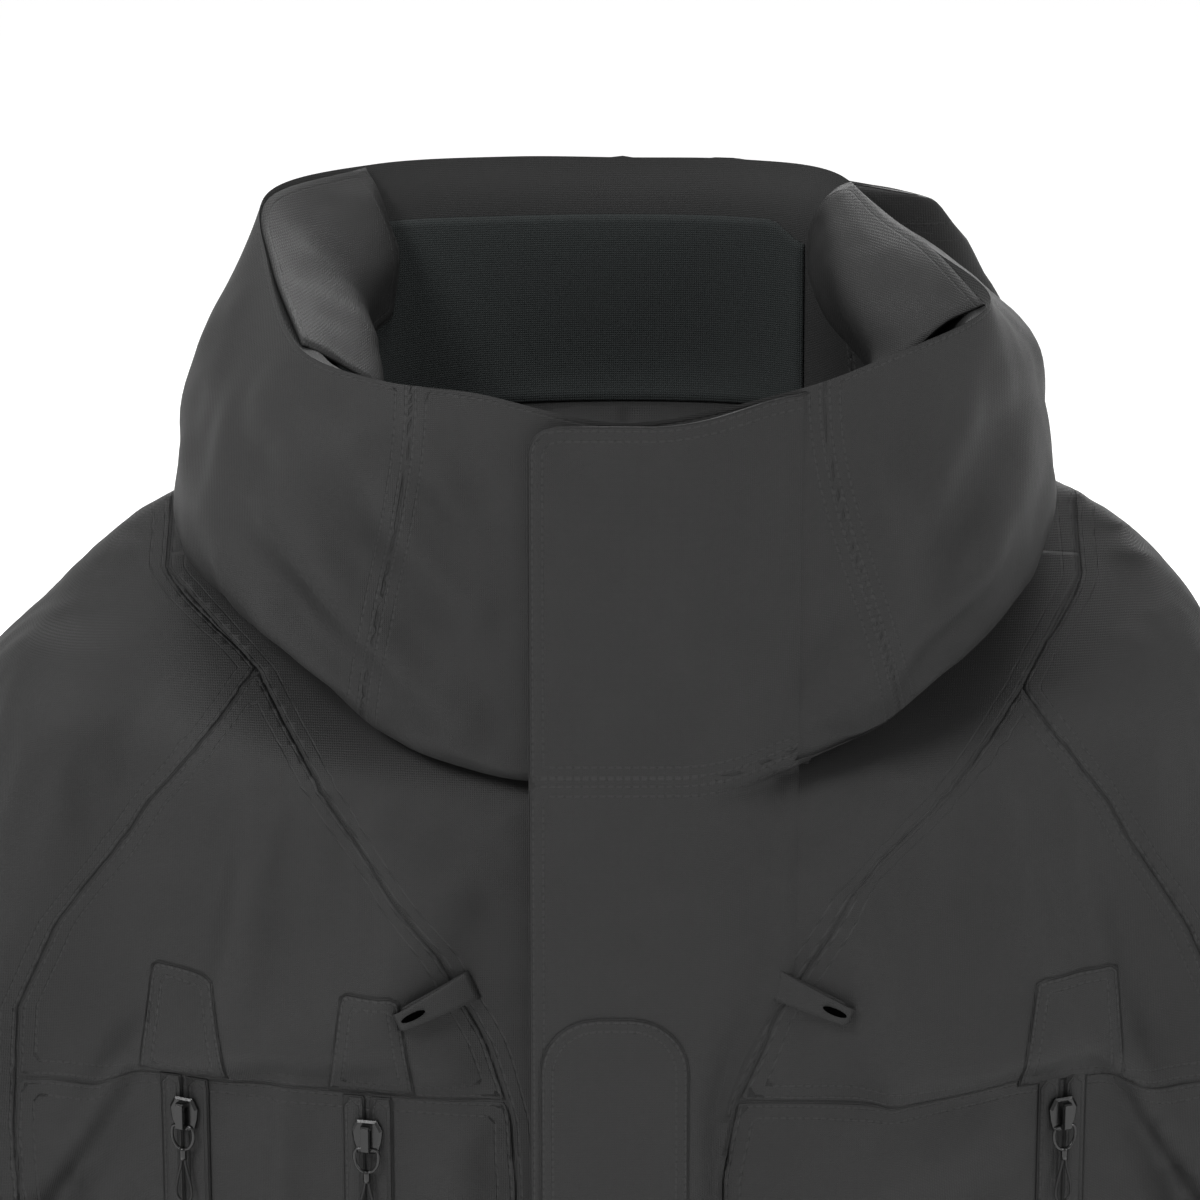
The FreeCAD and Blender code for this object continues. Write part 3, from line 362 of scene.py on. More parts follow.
def webbing(name, colour):
    """Ribbed tape."""
    n = Nodes(name)
    ribs = n.wave(620, "DIAGONAL", 0.4)
    fuzz = n.noise(1500, 2.0, 0.6)
    share = n.math("ADD", n.math("MULTIPLY", ribs, 0.6), n.math("MULTIPLY", fuzz, 0.4))
    n.put(n.shader.inputs["Base Color"], n.mix(share, scaled(colour, 0.7), scaled(colour, 1.3)))
    n.put(n.shader.inputs["Normal"], n.bump(share, 0.6, 0.0007))
    n.shader.inputs["Roughness"].default_value = 0.7
    return n.material


SHELL = fabric("shell_cloth", grey(0.0095), 0.42, 0.6)
SHELL_PLAIN = fabric("shell_cloth_plain", grey(0.0095), 0.42, 0.6, seams=False)
PATCH = fabric("patch_cloth", grey(0.009), 0.2, 0.58, rows=(1.6, 5.4))
COWL = fabric("collar_cloth", grey(0.0095), 0.42, 0.6, rows=(2.0, 6.2))
INNER = fabric("inner_cloth", grey(0.007, (1.0, 1.02, 1.02)), 0.2, 0.7, rows=(2.0,))
LINING = knit("lining_knit", grey(0.0115, (0.86, 1.08, 1.08)))
TAPE = webbing("tape_weave", grey(0.008))
WEB = webbing("loop_weave", grey(0.012))
GLOSS = plain("black_lacquer", grey(0.004), 0.24, 0.12, spec=0.3)
TEETH = plain("teeth_plastic", grey(0.005), 0.4, spec=0.3)
CORD = plain("pull_cord", grey(0.004), 0.45, grain=3.0, spec=0.25)
HOOKS = webbing("hook_pile", grey(0.008))
# near-black matte disc material: painted shade for the slots in the fabric loops
SLIT_SHADE = plain("slit_painted_shade", grey(0.0004), 0.9, spec=0.0)
TAB = plain("tab_rubber", grey(0.012), 0.5)


# ---- Body and sleeves: closed forms, made one, draped, then cut along the seams ----
def oval(half, front_y, front_z, back_y, back_z, count=96):
    angle = np.linspace(0, 2 * math.pi, count, endpoint=False)
    share = (1 - np.cos(angle)) / 2
    return np.stack([half * np.sin(angle), front_y + (back_y - front_y) * share,
                     front_z + (back_z - front_z) * share], 1)


def closed_loft(name, rings):
    count = len(rings[0])
    points = np.concatenate(rings)
    faces = grid_faces(len(rings), count, closed=True)
    first, last = len(points), len(points) + 1
    points = np.concatenate([points, [rings[0].mean(0)], [rings[-1].mean(0)]])
    top = (len(rings) - 1) * count
    for j in range(count):
        k = (j + 1) % count
        faces.append((first, k, j))
        faces.append((last, top + j, top + k))
    obj = new_object(name, points, faces, None)
    faces_outward(obj)
    return obj


TORSO = np.array([
    (266, FRONT_Y, -752, 122, -752), (266, FRONT_Y, -480, 122, -460), (266, FRONT_Y, -216, 122, -150),
    (271, FRONT_Y, -140, 116, -36), (238, FRONT_Y, -86, 98, 38), (130, FRONT_Y, -75, 78, 42),
], float)
# the sleeve hangs at UPPER from the vertical down to the elbow and at FORE below it
UPPER, FORE = math.radians(44), math.radians(28)
MEAN = (UPPER + FORE) / 2
ELBOW, CUFF_SEAM, CUFF_LOW, ARM_LOW = 285, 250, 306, 318
ARM = (197.0, -5.0, -116.0)


def arm_point(side, reach, fore):
    return np.array([side * (ARM[0] + reach * math.sin(UPPER) + fore * math.sin(FORE)),
                     ARM[1] - 34 * fore / CUFF_LOW, ARM[2] - reach * math.cos(UPPER) - fore * math.cos(FORE)])


def arm_ring(side, reach, fore, angle, radius, count=48):
    around = np.linspace(0, 2 * math.pi, count, endpoint=False)
    across = np.array([side * math.cos(angle), 0, math.sin(angle)])
    deep = np.array([0, 0.94, 0])
    return (arm_point(side, reach, fore) + radius * np.cos(around)[:, None] * across
            + radius * np.sin(around)[:, None] * deep)


def torso_rings(grow=0.0):
    spec = catmull(TORSO, 5)
    return [oval(s[0] + grow, s[1] - grow, s[2], s[3] + grow, s[4]) for s in spec]


def arm_rings(side, grow=0.0):
    rings = [(0, 0, UPPER, 82), (95, 0, UPPER, 78), (190, 0, UPPER, 72), (ELBOW, 0, MEAN, 67),
             (ELBOW, 125, FORE, 59.5), (ELBOW, CUFF_SEAM, FORE, 52), (ELBOW, ARM_LOW, FORE, 48.5)]
    return [arm_ring(side, a, b, c, d + grow) for a, b, c, d in rings]


def ball(name, centre, radii, grow=0.0):
    rings = []
    for t in np.linspace(0.12, math.pi - 0.12, 14):
        ring = oval(1, -1, 0, 1, 0, 40)
        ring[:, 0] *= (radii[0] + grow) * math.sin(t)
        ring[:, 1] *= (radii[1] + grow) * math.sin(t)
        ring[:, 2] = (radii[2] + grow) * math.cos(t)
        rings.append(ring + np.array(centre))
    return closed_loft(name, rings[::-1])


SHOULDERS = {-1: ((-226, -4, -84), (64, 84, 62)), 1: ((203, -4, -92), (62, 84, 62))}


def body_form(name, grow=0.0):
    parts = [closed_loft(name, torso_rings(grow))]
    for word, side in SIDES:
        parts.append(closed_loft(f"{name}_{word}", arm_rings(side, grow)))
        parts.append(ball(f"{name}_ball_{word}", *SHOULDERS[side], grow))
    return join(name, parts)


def remesh(obj, size, rounds):
    made = obj.modifiers.new("remesh", "REMESH")
    made.mode = "VOXEL"
    made.voxel_size = size * MM
    made.use_smooth_shade = True
    even = obj.modifiers.new("even", "SMOOTH")
    even.factor = 0.5
    even.iterations = rounds
    return apply_modifiers(obj)


def coordinates(obj):
    out = np.empty(len(obj.data.vertices) * 3)
    obj.data.vertices.foreach_get("co", out)
    return out.reshape(-1, 3) / MM


def near_zip(p):
    """1 beside the chest zips and the front opening, falling to 0 away from them."""
    front = (p[:, 1] < -40)
    hold = 1 - smooth(np.abs(p[:, 0]), 40, 75)
    for x in (-185, -107, 185):
        across = 1 - smooth(np.abs(p[:, 0] - x), 16, 34)
        hold = np.maximum(hold, across * smooth(p[:, 2], -402, -392) * (1 - smooth(p[:, 2], -214, -196)))
    return hold * front


SURPLUS, INSET, DRAPE_FRAMES = 0.055, 9.0, 24


def drape(obj, frames):
    """Let surplus cloth settle over the form inside. Returns each point's place before and after."""
    p = coordinates(obj)
    hold = near_zip(p)
    neck = plane_height(p, NECK_PLANE)
    hold = np.maximum(hold, smooth(neck, -26, -6))
    hold = np.maximum(hold, 1 - smooth(p[:, 2], -738, -715))
    for _, side in SIDES:
        hold = np.maximum(hold, smooth(plane_height(p, CUFF_PLANE[side]), -12, 4))
    group = obj.vertex_groups.new(name="hold")
    for i, w in enumerate(hold):
        if w > 0.001:
            group.add([i], float(w), "REPLACE")
    inside = remesh(body_form("inside", -INSET), 14, 2)
    inside.modifiers.new("hit", "COLLISION")
    inside.collision.thickness_outer = 0.003
    inside.collision.cloth_friction = 12.0
    made = obj.modifiers.new("cloth", "CLOTH")
    s = made.settings
    s.quality = 5
    s.mass = 0.25
    s.tension_stiffness = s.compression_stiffness = 14
    s.shear_stiffness = 6
    s.bending_stiffness = 3.0
    s.air_damping = 2.0
    s.vertex_group_mass = "hold"
    s.pin_stiffness = 1.0
    s.shrink_min = s.shrink_max = -SURPLUS
    made.collision_settings.distance_min = 0.003
    made.collision_settings.collision_quality = 2
    made.collision_settings.use_self_collision = False
    made.point_cache.frame_start, made.point_cache.frame_end = 1, frames
    scene = bpy.context.scene
    for f in range(1, frames + 1):
        scene.frame_set(f)
    apply_modifiers(obj)
    scene.frame_set(1)
    bpy.data.objects.remove(inside)
    return p, coordinates(obj)


# planes: (point, normal pointing to what is cut away)
NECK_PLANE = (np.array([0, FRONT_Y, -75.0]), np.array([0, -117, 208.0]) / math.hypot(117, 208))


def arm_planes(fore, lean):
    return {side: (arm_point(side, ELBOW, fore), np.array([side * math.sin(lean), 0, -math.cos(lean)]))
            for _, side in SIDES}


ELBOW_PLANE = arm_planes(0, MEAN)
CUFF_PLANE, CUFF_END = arm_planes(CUFF_SEAM, FORE), arm_planes(CUFF_LOW, FORE)


def plane_height(p, plane):
    return (p - plane[0]) @ plane[1]


# seam lines as distance from the middle at a height, both in mm; the two fronts hang a little differently
PRINCESS = {
    -1: [(-245, 45), (-215, 47), (-180, 56), (-150, 70), (-139, 76), (-119, 92), (-91, 113), (-63, 133),
         (-38, 154), (-10, 195)],
    1: [(-241, 41), (-207, 47), (-169, 61.5), (-115, 92), (-77, 133), (-44, 166), (-12, 195)],
}
RAGLAN_FRONT = {
    -1: [(-600, 368), (-290, 275), (-289, 266), (-230, 262), (-174, 256), (-138, 238), (-110, 215),
         (-85, 198), (-38, 154), (-10, 195)],
    1: [(-600, 368), (-290, 275), (-289, 266), (-230, 262), (-174, 256), (-138, 238), (-110, 218), (-85, 203),
        (-44, 166), (-12, 195)],
}
RAGLAN_BACK = [(-600, 368), (-290, 275), (-289, 266), (-230, 262), (-174, 250), (-120, 225), (-60, 205),
               (-10, 195)]
CHEST_Z, YOKE_Z, PLACKET = -206.0, -175.0, 12.0


def along(table, z):
    table = sorted(table)
    return np.interp(z, [a for a, _ in table], [b for _, b in table])


def raglan(p, side):
    share = smooth(p[:, 1], -55, 55)
    front, back = along(RAGLAN_FRONT[side], p[:, 2]), along(RAGLAN_BACK, p[:, 2])
    return np.abs(p[:, 0]) - (front * (1 - share) + back * share)


def princess(p, side):
    return np.abs(p[:, 0]) - along(PRINCESS[side], p[:, 2])


class Skin:
    """Triangles with a draped place and a flat place for each point, cut along the zero lines of fields."""

    def __init__(self, rest, posed, triangles):
        self.rest, self.posed = list(rest), list(posed)
        self.triangles = [tuple(t) for t in triangles]

    def cut(self, field, chosen=None):
        """Split the chosen triangles where field changes sign. Returns the two lists of triangles."""
        rest = np.array(self.rest)
        value = field(rest)
        chosen = self.triangles if chosen is None else chosen
        corners = {}
        low, high = [], []

        def between(a, b):
            key = (min(a, b), max(a, b))
            if key not in corners:
                t = value[key[0]] / (value[key[0]] - value[key[1]])
                self.rest.append(self.rest[key[0]] * (1 - t) + self.rest[key[1]] * t)
                self.posed.append(self.posed[key[0]] * (1 - t) + self.posed[key[1]] * t)
                corners[key] = len(self.rest) - 1
            return corners[key]

        for a, b, c in chosen:
            signs = (value[a] > 0, value[b] > 0, value[c] > 0)
            if all(signs):
                high.append((a, b, c))
            elif not any(signs):
                low.append((a, b, c))
            else:
                while not (signs[0] != signs[1] and signs[0] != signs[2]):
                    a, b, c = b, c, a
                    signs = (signs[1], signs[2], signs[0])
                ab, ca = between(a, b), between(c, a)
                lone, rest_of = (high, low) if signs[0] else (low, high)
                lone.append((a, ab, ca))
                rest_of.append((ab, b, c))
                rest_of.append((ab, c, ca))
        return low, high


def panel(name, skin, triangles, edges, material, thickness=1.2):
    """A panel of cloth. edges are (field, how to measure along it) for each seam round it."""
    used = sorted({i for t in triangles for i in t})
    index = {v: i for i, v in enumerate(used)}
    rest = np.array([skin.rest[i] for i in used])
    posed = np.array([skin.posed[i] for i in used])
    best = np.full(len(used), 1e3)
    run = np.zeros(len(used))
    for field, measure in edges:
        value = np.abs(field(rest))
        nearer = value < best
        best = np.where(nearer, value, best)
        run = np.where(nearer, measure(rest), run)
    obj = new_object(name, posed, [tuple(index[i] for i in t) for t in triangles], material,
                     {"seam": best, "run": run})
    return thicken(obj, thickness)


def down(p):
    return p[:, 2] * 1.06


def across(p):
    return p[:, 0] + p[:, 1] * 0.4


def slant(p):
    return np.abs(p[:, 0]) * 0.7 - p[:, 2] * 0.75


def round_arm(p):
    return p[:, 1] + np.abs(p[:, 0]) * 0.3


base = remesh(body_form("body_form"), 8.5, 4)
rest, posed = drape(base, DRAPE_FRAMES)
# the flat place travels through the smoothing as three attributes
REST_KEYS = ("rest_x", "rest_y", "rest_z")
for axis, key in enumerate(REST_KEYS):
    set_values(base.data, key, rest[:, axis])
base.data.vertices.foreach_set("co", (posed * MM).ravel())
soft = base.modifiers.new("soft", "SMOOTH")
soft.factor = 0.5
soft.iterations = 2
finer = base.modifiers.new("finer", "SUBSURF")
finer.levels = finer.render_levels = 1
apply_modifiers(base)
posed = coordinates(base)
rest = np.zeros_like(posed)
for axis, key in enumerate(REST_KEYS):
    column = np.empty(len(posed), np.float32)
    base.data.attributes[key].data.foreach_get("value", column)
    rest[:, axis] = column
base.data.calc_loop_triangles()
triangles = [tuple(t.vertices) for t in base.data.loop_triangles]
skin = Skin(rest, posed, triangles)
SURFACE = ray_tree(posed, triangles)
bpy.data.objects.remove(base)

_, kept = skin.cut(lambda p: p[:, 2] - HEM_Z)
kept, _ = skin.cut(lambda p: plane_height(p, NECK_PLANE), kept)
for _, side in SIDES:
    kept, _ = skin.cut(
        lambda p, s=side: np.where(p[:, 0] * s > 200, plane_height(p, CUFF_END[s]), -50.0), kept)
halves = dict(zip((-1, 1), skin.cut(lambda p: p[:, 0], kept)))

for word, side in SIDES:
    half = halves[side]
    torso, outer = skin.cut(lambda p, s=side: raglan(p, s), half)
    front, back = skin.cut(lambda p: p[:, 1], torso)
    back_low, back_high = skin.cut(lambda p: p[:, 2] - YOKE_Z, back)
    inside, beside = skin.cut(lambda p, s=side: princess(p, s), front)
    low, chest = skin.cut(lambda p: p[:, 2] - CHEST_Z, beside)
    _, centre = skin.cut(lambda p: np.abs(p[:, 0]) - PLACKET, inside)
    upper, lower = skin.cut(
        lambda p, s=side: np.where(np.abs(p[:, 0]) > 255, plane_height(p, ELBOW_PLANE[s]), -50.0), outer)
    fore, cuff = skin.cut(lambda p, s=side: plane_height(p, CUFF_PLANE[s]), lower)
    F_RAGLAN = (lambda p, s=side: raglan(p, s), slant)
    F_PRINCESS = (lambda p, s=side: princess(p, s), slant)
    F_CHEST = (lambda p: p[:, 2] - CHEST_Z, across)
    F_YOKE = (lambda p: p[:, 2] - YOKE_Z, across)
    F_SIDE = (lambda p: np.where(p[:, 2] < -280, p[:, 1], 60.0), down)
    F_HEM = (lambda p: p[:, 2] - HEM_Z, across)
    F_PLACKET = (lambda p: np.abs(p[:, 0]) - PLACKET, down)
    F_ELBOW = (lambda p, s=side: plane_height(p, ELBOW_PLANE[s]), round_arm)
    F_CUFF = (lambda p, s=side: plane_height(p, CUFF_PLANE[s]), round_arm)
    F_CUFF_END = (lambda p, s=side: plane_height(p, CUFF_END[s]), round_arm)
    F_NECK = (lambda p: plane_height(p, NECK_PLANE), across)
    made = {
        "centre_cloth": (centre, (F_PRINCESS, F_PLACKET, F_HEM), ("centre_panel",)),
        "chest_panel": (chest, (F_PRINCESS, F_RAGLAN, F_CHEST), ("chest",)),
        "front_panel": (low, (F_PRINCESS, F_RAGLAN, F_CHEST, F_SIDE, F_HEM), ("front",)),
        "raglan_sleeve": (upper, (F_RAGLAN, F_ELBOW), ("shoulder", "sleeve")),
        "fore_sleeve": (fore, (F_ELBOW, F_CUFF), ("forearm",)),
        "wrist_cuff": (cuff, (F_CUFF, F_CUFF_END), ("cuff",)),
        "yoke_panel": (back_high, (F_RAGLAN, F_YOKE), ("back_yoke",)),
        "back_panel_cloth": (back_low, (F_RAGLAN, F_YOKE, F_SIDE, F_HEM), ("back_panel",)),
    }
    for name, (faces, edges, nodes) in made.items():
        obj = panel(f"{name}_{word}", skin, faces, edges, SHELL)
        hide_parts(*[f"{n}_{word}" for n in nodes])
        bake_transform(obj)


# ---- Collar ----
def mirrored_row(row):
    return row + [(-x, y, z) for x, y, z in row[-2:0:-1]]


ROWS = {
    "N": mirrored_row([(0, -131, -64), (55, -127, -62), (103, -108, -50), (136, -62, -26), (143, -5, -4),
                       (126, 42, 16), (88, 68, 32), (45, 79, 40), (0, 82, 43)]),
    "B": [(0, -133, -52), (56, -129, -52), (112, -110, -40), (158, -68, -13), (176, -5, -2), (158, 52, 22),
          (105, 84, 44), (52, 94, 54), (0, 97, 57), (-52, 94, 54), (-105, 84, 44), (-160, 50, 22), (-186, -2, 3),
          (-160, -72, -14), (-112, -115, -28), (-58, -130, -46)],
    "M": [(0, -137, 5), (60, -134, 8), (120, -116, 12), (166, -70, 24), (182, 0, 36), (166, 62, 56), (112, 98, 78),
          (55, 108, 86), (0, 110, 88), (-55, 108, 86), (-112, 98, 78), (-168, 60, 56), (-191, 5, 30),
          (-168, -70, 20), (-120, -114, 12), (-60, -132, 8)],
    "U": [(0, -137, 55), (62, -133, 60), (118, -115, 72), (160, -74, 84), (174, 0, 86), (160, 56, 96),
          (112, 92, 112), (56, 102, 116), (0, 104, 118), (-56, 102, 116), (-112, 90, 114), (-160, 52, 104),
          (-182, 12, 82), (-158, -64, 66), (-118, -108, 62), (-60, -131, 58)],
    "R": [(0, -138, 89), (64, -129, 99), (104, -112, 109), (149, -75, 122), (130, -18, 131), (112, 26, 134),
          (92, 74, 144), (52, 92, 146), (0, 96, 146), (-50, 93, 147), (-108, 82, 146), (-152, 50, 141),
          (-150, -5, 124), (-134, -72, 104), (-100, -108, 99), (-60, -126, 98)],
    "I1": [(0, -129, 80), (60, -120, 88), (98, -104, 96), (136, -72, 108), (120, -20, 116), (104, 22, 118),
           (84, 64, 120), (48, 82, 120), (0, 86, 118), (-48, 83, 120), (-98, 74, 120), (-140, 46, 118),
           (-134, -5, 106), (-120, -66, 92), (-92, -98, 86), (-56, -116, 86)],
    "I2": [(0, -120, 20), (55, -112, 24), (90, -98, 30), (118, -64, 50), (118, -10, 60), (104, 30, 64),
           (80, 62, 60), (45, 78, 58), (0, 82, 56), (-45, 78, 58), (-84, 66, 60), (-112, 38, 60), (-122, -5, 52),
           (-112, -60, 40), (-86, -92, 26), (-52, -110, 22)],
    "I3": mirrored_row([(0, -118, -55), (50, -112, -52), (88, -94, -42), (114, -56, -20), (122, -5, 0),
                        (108, 36, 16), (76, 60, 28), (40, 70, 34), (0, 73, 36)]),
}
ROWS["T"] = [(x * 0.88, y * 0.84 if y < 0 else y * 0.9, z - 9) for x, y, z in ROWS["N"]]
AROUND = 30


def collar_grid(keys, steps):
    rows = np.array([ROWS[k] for k in keys], float)
    fine = catmull(rows, steps)
    return np.stack([catmull(row, AROUND, closed=True) for row in fine])


def grid_normals(grid):
    du = np.roll(grid, -1, 1) - np.roll(grid, 1, 1)
    dv = np.gradient(grid, axis=0)
    n = np.cross(du, dv)
    return n / np.maximum(np.linalg.norm(n, axis=2, keepdims=True), 1e-9)


def crease(grid, normals, a, b, depth, width):
    """Push a soft fold along the line from a to b, both given as (x, z) seen from the front."""
    a, b = np.array(a, float), np.array(b, float)
    p = grid[:, :, [0, 2]]
    line = b - a
    t = np.clip(((p - a) @ line) / (line @ line), 0, 1)
    near = a + t[..., None] * line
    d = np.linalg.norm(p - near, axis=2)
    front = smooth(-grid[:, :, 1], 20, 60)
    fade = np.sin(np.pi * np.clip(t * 0.86 + 0.07, 0, 1)) ** 0.6
    shape = np.exp(-(d / width) ** 2) - 0.45 * np.exp(-((d - 1.9 * width) / width) ** 2)
    push = depth * shape * front * fade
    return grid + normals * push[..., None]


outer_keys, inner_keys = ("T", "N", "B", "M", "U", "R"), ("R", "I1", "I2", "I3")
outer = collar_grid(outer_keys, 12)
normals = grid_normals(outer)
FRONT_ROW, FRONT_COLUMNS = 28, 12
if np.mean(normals[FRONT_ROW, :FRONT_COLUMNS, 1]) > 0:
    normals = -normals
for a, b, depth, width in (
    ((-150, 40), (-70, -40), 6.5, 9), ((-165, 10), (-100, -38), 6.0, 8), ((-120, 70), (-62, 10), 3.6, 8),
    ((-90, 95), (-60, 30), 2.0, 7), ((-140, 80), (-120, 20), 2.2, 10),
    ((150, 30), (95, -38), 5.6, 9), ((120, 20), (75, -44), 4.2, 8), ((170, 60), (140, -10), 4.6, 10),
    ((95, 70), (118, 10), 2.2, 9), ((140, 100), (125, 40), 2.6, 9),
):
    outer = crease(outer, normals, a, b, depth, width)
wave = ripple(outer.reshape(-1, 3), 42, 7.7).reshape(outer.shape[:2])
height = np.linspace(0, 1, len(outer))[:, None]
free = smooth(height, 0.2, 0.36) * (1 - smooth(height, 0.85, 1.0)) * smooth(np.abs(outer[:, :, 0]), 40, 75)
outer = outer + normals * (wave * 3.2 * free)[..., None]


def collar_seams(grid):
    """Distance to the nearest collar seam and the length along it, for each point of the grid."""
    x, y, z = grid[..., 0], grid[..., 1], grid[..., 2]
    height = smooth(z, -64, 98)
    right_line = np.abs(-x - (109 - 23 * height)) + (y > 0) * 200
    left_line = np.abs(x - (115 - 35 * height)) + (y > 0) * 200
    side_line = np.abs(y - (30 + 10 * height)) + (np.abs(x) < 60) * 200
    steps = np.linalg.norm(np.diff(grid, axis=0, prepend=grid[:1]), axis=2).cumsum(0)
    rim = steps[-1] - steps
    rows = np.stack([right_line, left_line, side_line, rim + 4.0])
    best = rows.min(0)
    which = rows.argmin(0)
    turns = np.linalg.norm(np.diff(grid, axis=1, prepend=grid[:, :1]), axis=2).cumsum(1)
    run = np.where(which < 3, steps, turns)
    return best, run


def build_collar(name, grid, material, nodes):
    """A closed band of cloth on the body. Returns a tree for casting rays at it."""
    best, run = collar_seams(grid)
    faces = grid_faces(*grid.shape[:2], closed=True)
    points = grid.reshape(-1, 3)
    obj = new_object(name, points, faces, material, {"seam": best.ravel(), "run": run.ravel()})
    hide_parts(*nodes)
    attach(obj, "jacket")
    return ray_tree(points, faces)


COLLAR_NODES = [f"{n}_{w}" for n in ("collar_front", "collar_side", "collar_back") for w in ("right", "left")]
COLLAR_SURFACE = build_collar("collar_outer", outer, COWL, COLLAR_NODES)
INNER_SURFACE = build_collar("collar_facing", collar_grid(inner_keys, 8), INNER,
                             ["neck_facing"])


def front_hit(x, z, trees):
    """The foremost point of the surfaces in trees at x, z, seen along +Y."""
    hits = [tree.ray_cast(Vector((x, -500, z)), Vector((0, 1, 0)))[0] for tree in trees]
    return min((hit for hit in hits if hit is not None), key=lambda hit: hit.y, default=None)


FOLD_STEPS, FOLD_BORDER = 8, 1.0


def inner_fold(name, rows):
    """A turned-in fold of the facing, over rows of points from the collar's rim downwards."""
    grid = np.stack([catmull(row, FOLD_STEPS) for row in catmull(np.array(rows, float), FOLD_STEPS)])
    across_grid = np.linalg.norm(np.diff(grid, axis=1, prepend=grid[:, :1]), axis=2).cumsum(1)
    down_grid = np.linalg.norm(np.diff(grid, axis=0, prepend=grid[:1]), axis=2).cumsum(0)
    noisy = ripple(grid.reshape(-1, 3), 22, 5.5).reshape(grid.shape[:2])
    grid = grid + grid_normals(grid) * (noisy * 1.4 * smooth(down_grid, 2, 14))[..., None]
    seam = np.minimum(down_grid + 2.5, down_grid[-1] - down_grid + FOLD_BORDER)
    seam = np.minimum(seam, across_grid[:, -1:] - across_grid + FOLD_BORDER)
    obj = new_object(name, grid.reshape(-1, 3), grid_faces(*grid.shape[:2]), COWL,
                     {"seam": seam.ravel(), "run": across_grid.ravel()})
    thicken(obj, 1.4, 0.0)
    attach(obj, "jacket")


inner_fold("collar_fold_left", [
    [(147, -73, 121.5), (129, -18, 131.5), (111, 26, 136), (98, 58, 143)],
    [(131, -64, 111), (117, -20, 124), (99, 22, 131), (90, 52, 141)],
    [(112, -60, 93), (95, -14, 108), (88, 22, 122), (84, 50, 134)],
    [(103, -54, 88), (101, -8, 86), (86, 26, 96), (80, 54, 110)],
    [(112, -50, 66), (108, -6, 72), (98, 30, 78), (90, 58, 84)],
])
inner_fold("collar_fold_right", [
    [(-132, -70, 104), (-148, -8, 123), (-152, 44, 139), (-112, 78, 145)],
    [(-118, -62, 94), (-128, -12, 112), (-130, 34, 124), (-104, 68, 132)],
    [(-100, -54, 78), (-104, -14, 92), (-110, 26, 100), (-98, 60, 112)],
    [(-104, -50, 58), (-112, -10, 68), (-112, 30, 78), (-100, 60, 84)],
])


def neck_lining(left=-128, right=78, low=42, high=123, columns=56, rows=24):
    """A brushed panel laid on the facing inside the back of the collar, with its top corners taken off."""
    points = []
    for i in range(rows):
        for j in range(columns):
            x = left + (right - left) * j / (columns - 1)
            top = high - 9 * smooth(abs(x - (left + right) / 2), 88, 103)
            z = low + (top - low) * i / (rows - 1)
            hit = INNER_SURFACE.ray_cast(Vector((x, 0, z)), Vector((0, 1, 0)))[0]
            points.append((x, (hit.y if hit else 80) - 1.8, z))
    obj = new_object("neck_lining_knit", points, grid_faces(rows, columns), LINING)
    thicken(obj, 1.2)
    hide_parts("neck_lining")
    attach(obj, "jacket")


neck_lining()


# ---- Storm flap: one layer from its free edge to the princess seam ----
FLAP_X, FLAP_Y, FLAP_TOP, FLAP_LOW, CORNER = -39.0, -140.0, 88.0, -734.0, 12.0


def flap_right(z):
    """Where the flap's layer ends on the left front."""
    low = float(along(PRINCESS[1], z)) - 0.6
    return low + (76 - low) * float(smooth(z, -190, -120))


def flap_grid():
    heights = sorted(set(list(np.arange(FLAP_LOW, FLAP_TOP - CORNER, 3.0))
                         + list(np.linspace(FLAP_TOP - CORNER, FLAP_TOP, 9))))
    columns = 30
    points, seam, run = [], [], []
    for z in heights:
        rise = max(0.0, z - (FLAP_TOP - CORNER))
        drop = max(0.0, (FLAP_LOW + CORNER) - z)
        bend = CORNER - math.sqrt(max(CORNER ** 2 - max(rise, drop) ** 2, 0.0))
        left, right = FLAP_X + bend, flap_right(z)
        for j in range(columns):
            t = j / (columns - 1)
            x = left + (right - left) * t
            rising = float(smooth(x, 10, 78)) * float(smooth(z, 20, FLAP_TOP))
            hit = front_hit(x, min(z, 84.0) + 8.0 * rising, (SURFACE, COLLAR_SURFACE))
            ground = hit.y if hit else -128.0
            share = float(smooth(x, 26.0, max(right - 3.0, 44.0)))
            wavy = 1.1 * noise.noise(Vector((x / 60, 4.2, z / 75))) * (1 - share)
            y = (FLAP_Y + wavy) * (1 - share) + (ground + 2.8) * share
            if share < 0.98:
                y = min(y, ground - 1.6 * (1 - share))
            points.append((x, y, z + 11.0 * rising))
            edge = min(x - FLAP_X, FLAP_TOP - z, z - FLAP_LOW)
            if rise > 0 and x < FLAP_X + CORNER:
                edge = CORNER - math.hypot(x - FLAP_X - CORNER, rise)
            neckline = -61.0 + 0.0036 * max(x - 20, 0) ** 2
            across_it = abs(z - neckline)
            edge = max(edge, 0) + 0.3
            seam.append(min(edge, across_it))
            run.append(x if across_it < edge else (z if x - FLAP_X < FLAP_TOP - z else x))
    return np.array(points), len(heights), columns, seam, run


points, rows, columns, seam, run = flap_grid()
flap = new_object("storm_flap_cloth", points, grid_faces(rows, columns), COWL, {"seam": seam, "run": run})
thicken(flap, 1.6, 1.0)
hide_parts("storm_flap", "flap_binding")
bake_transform(flap)


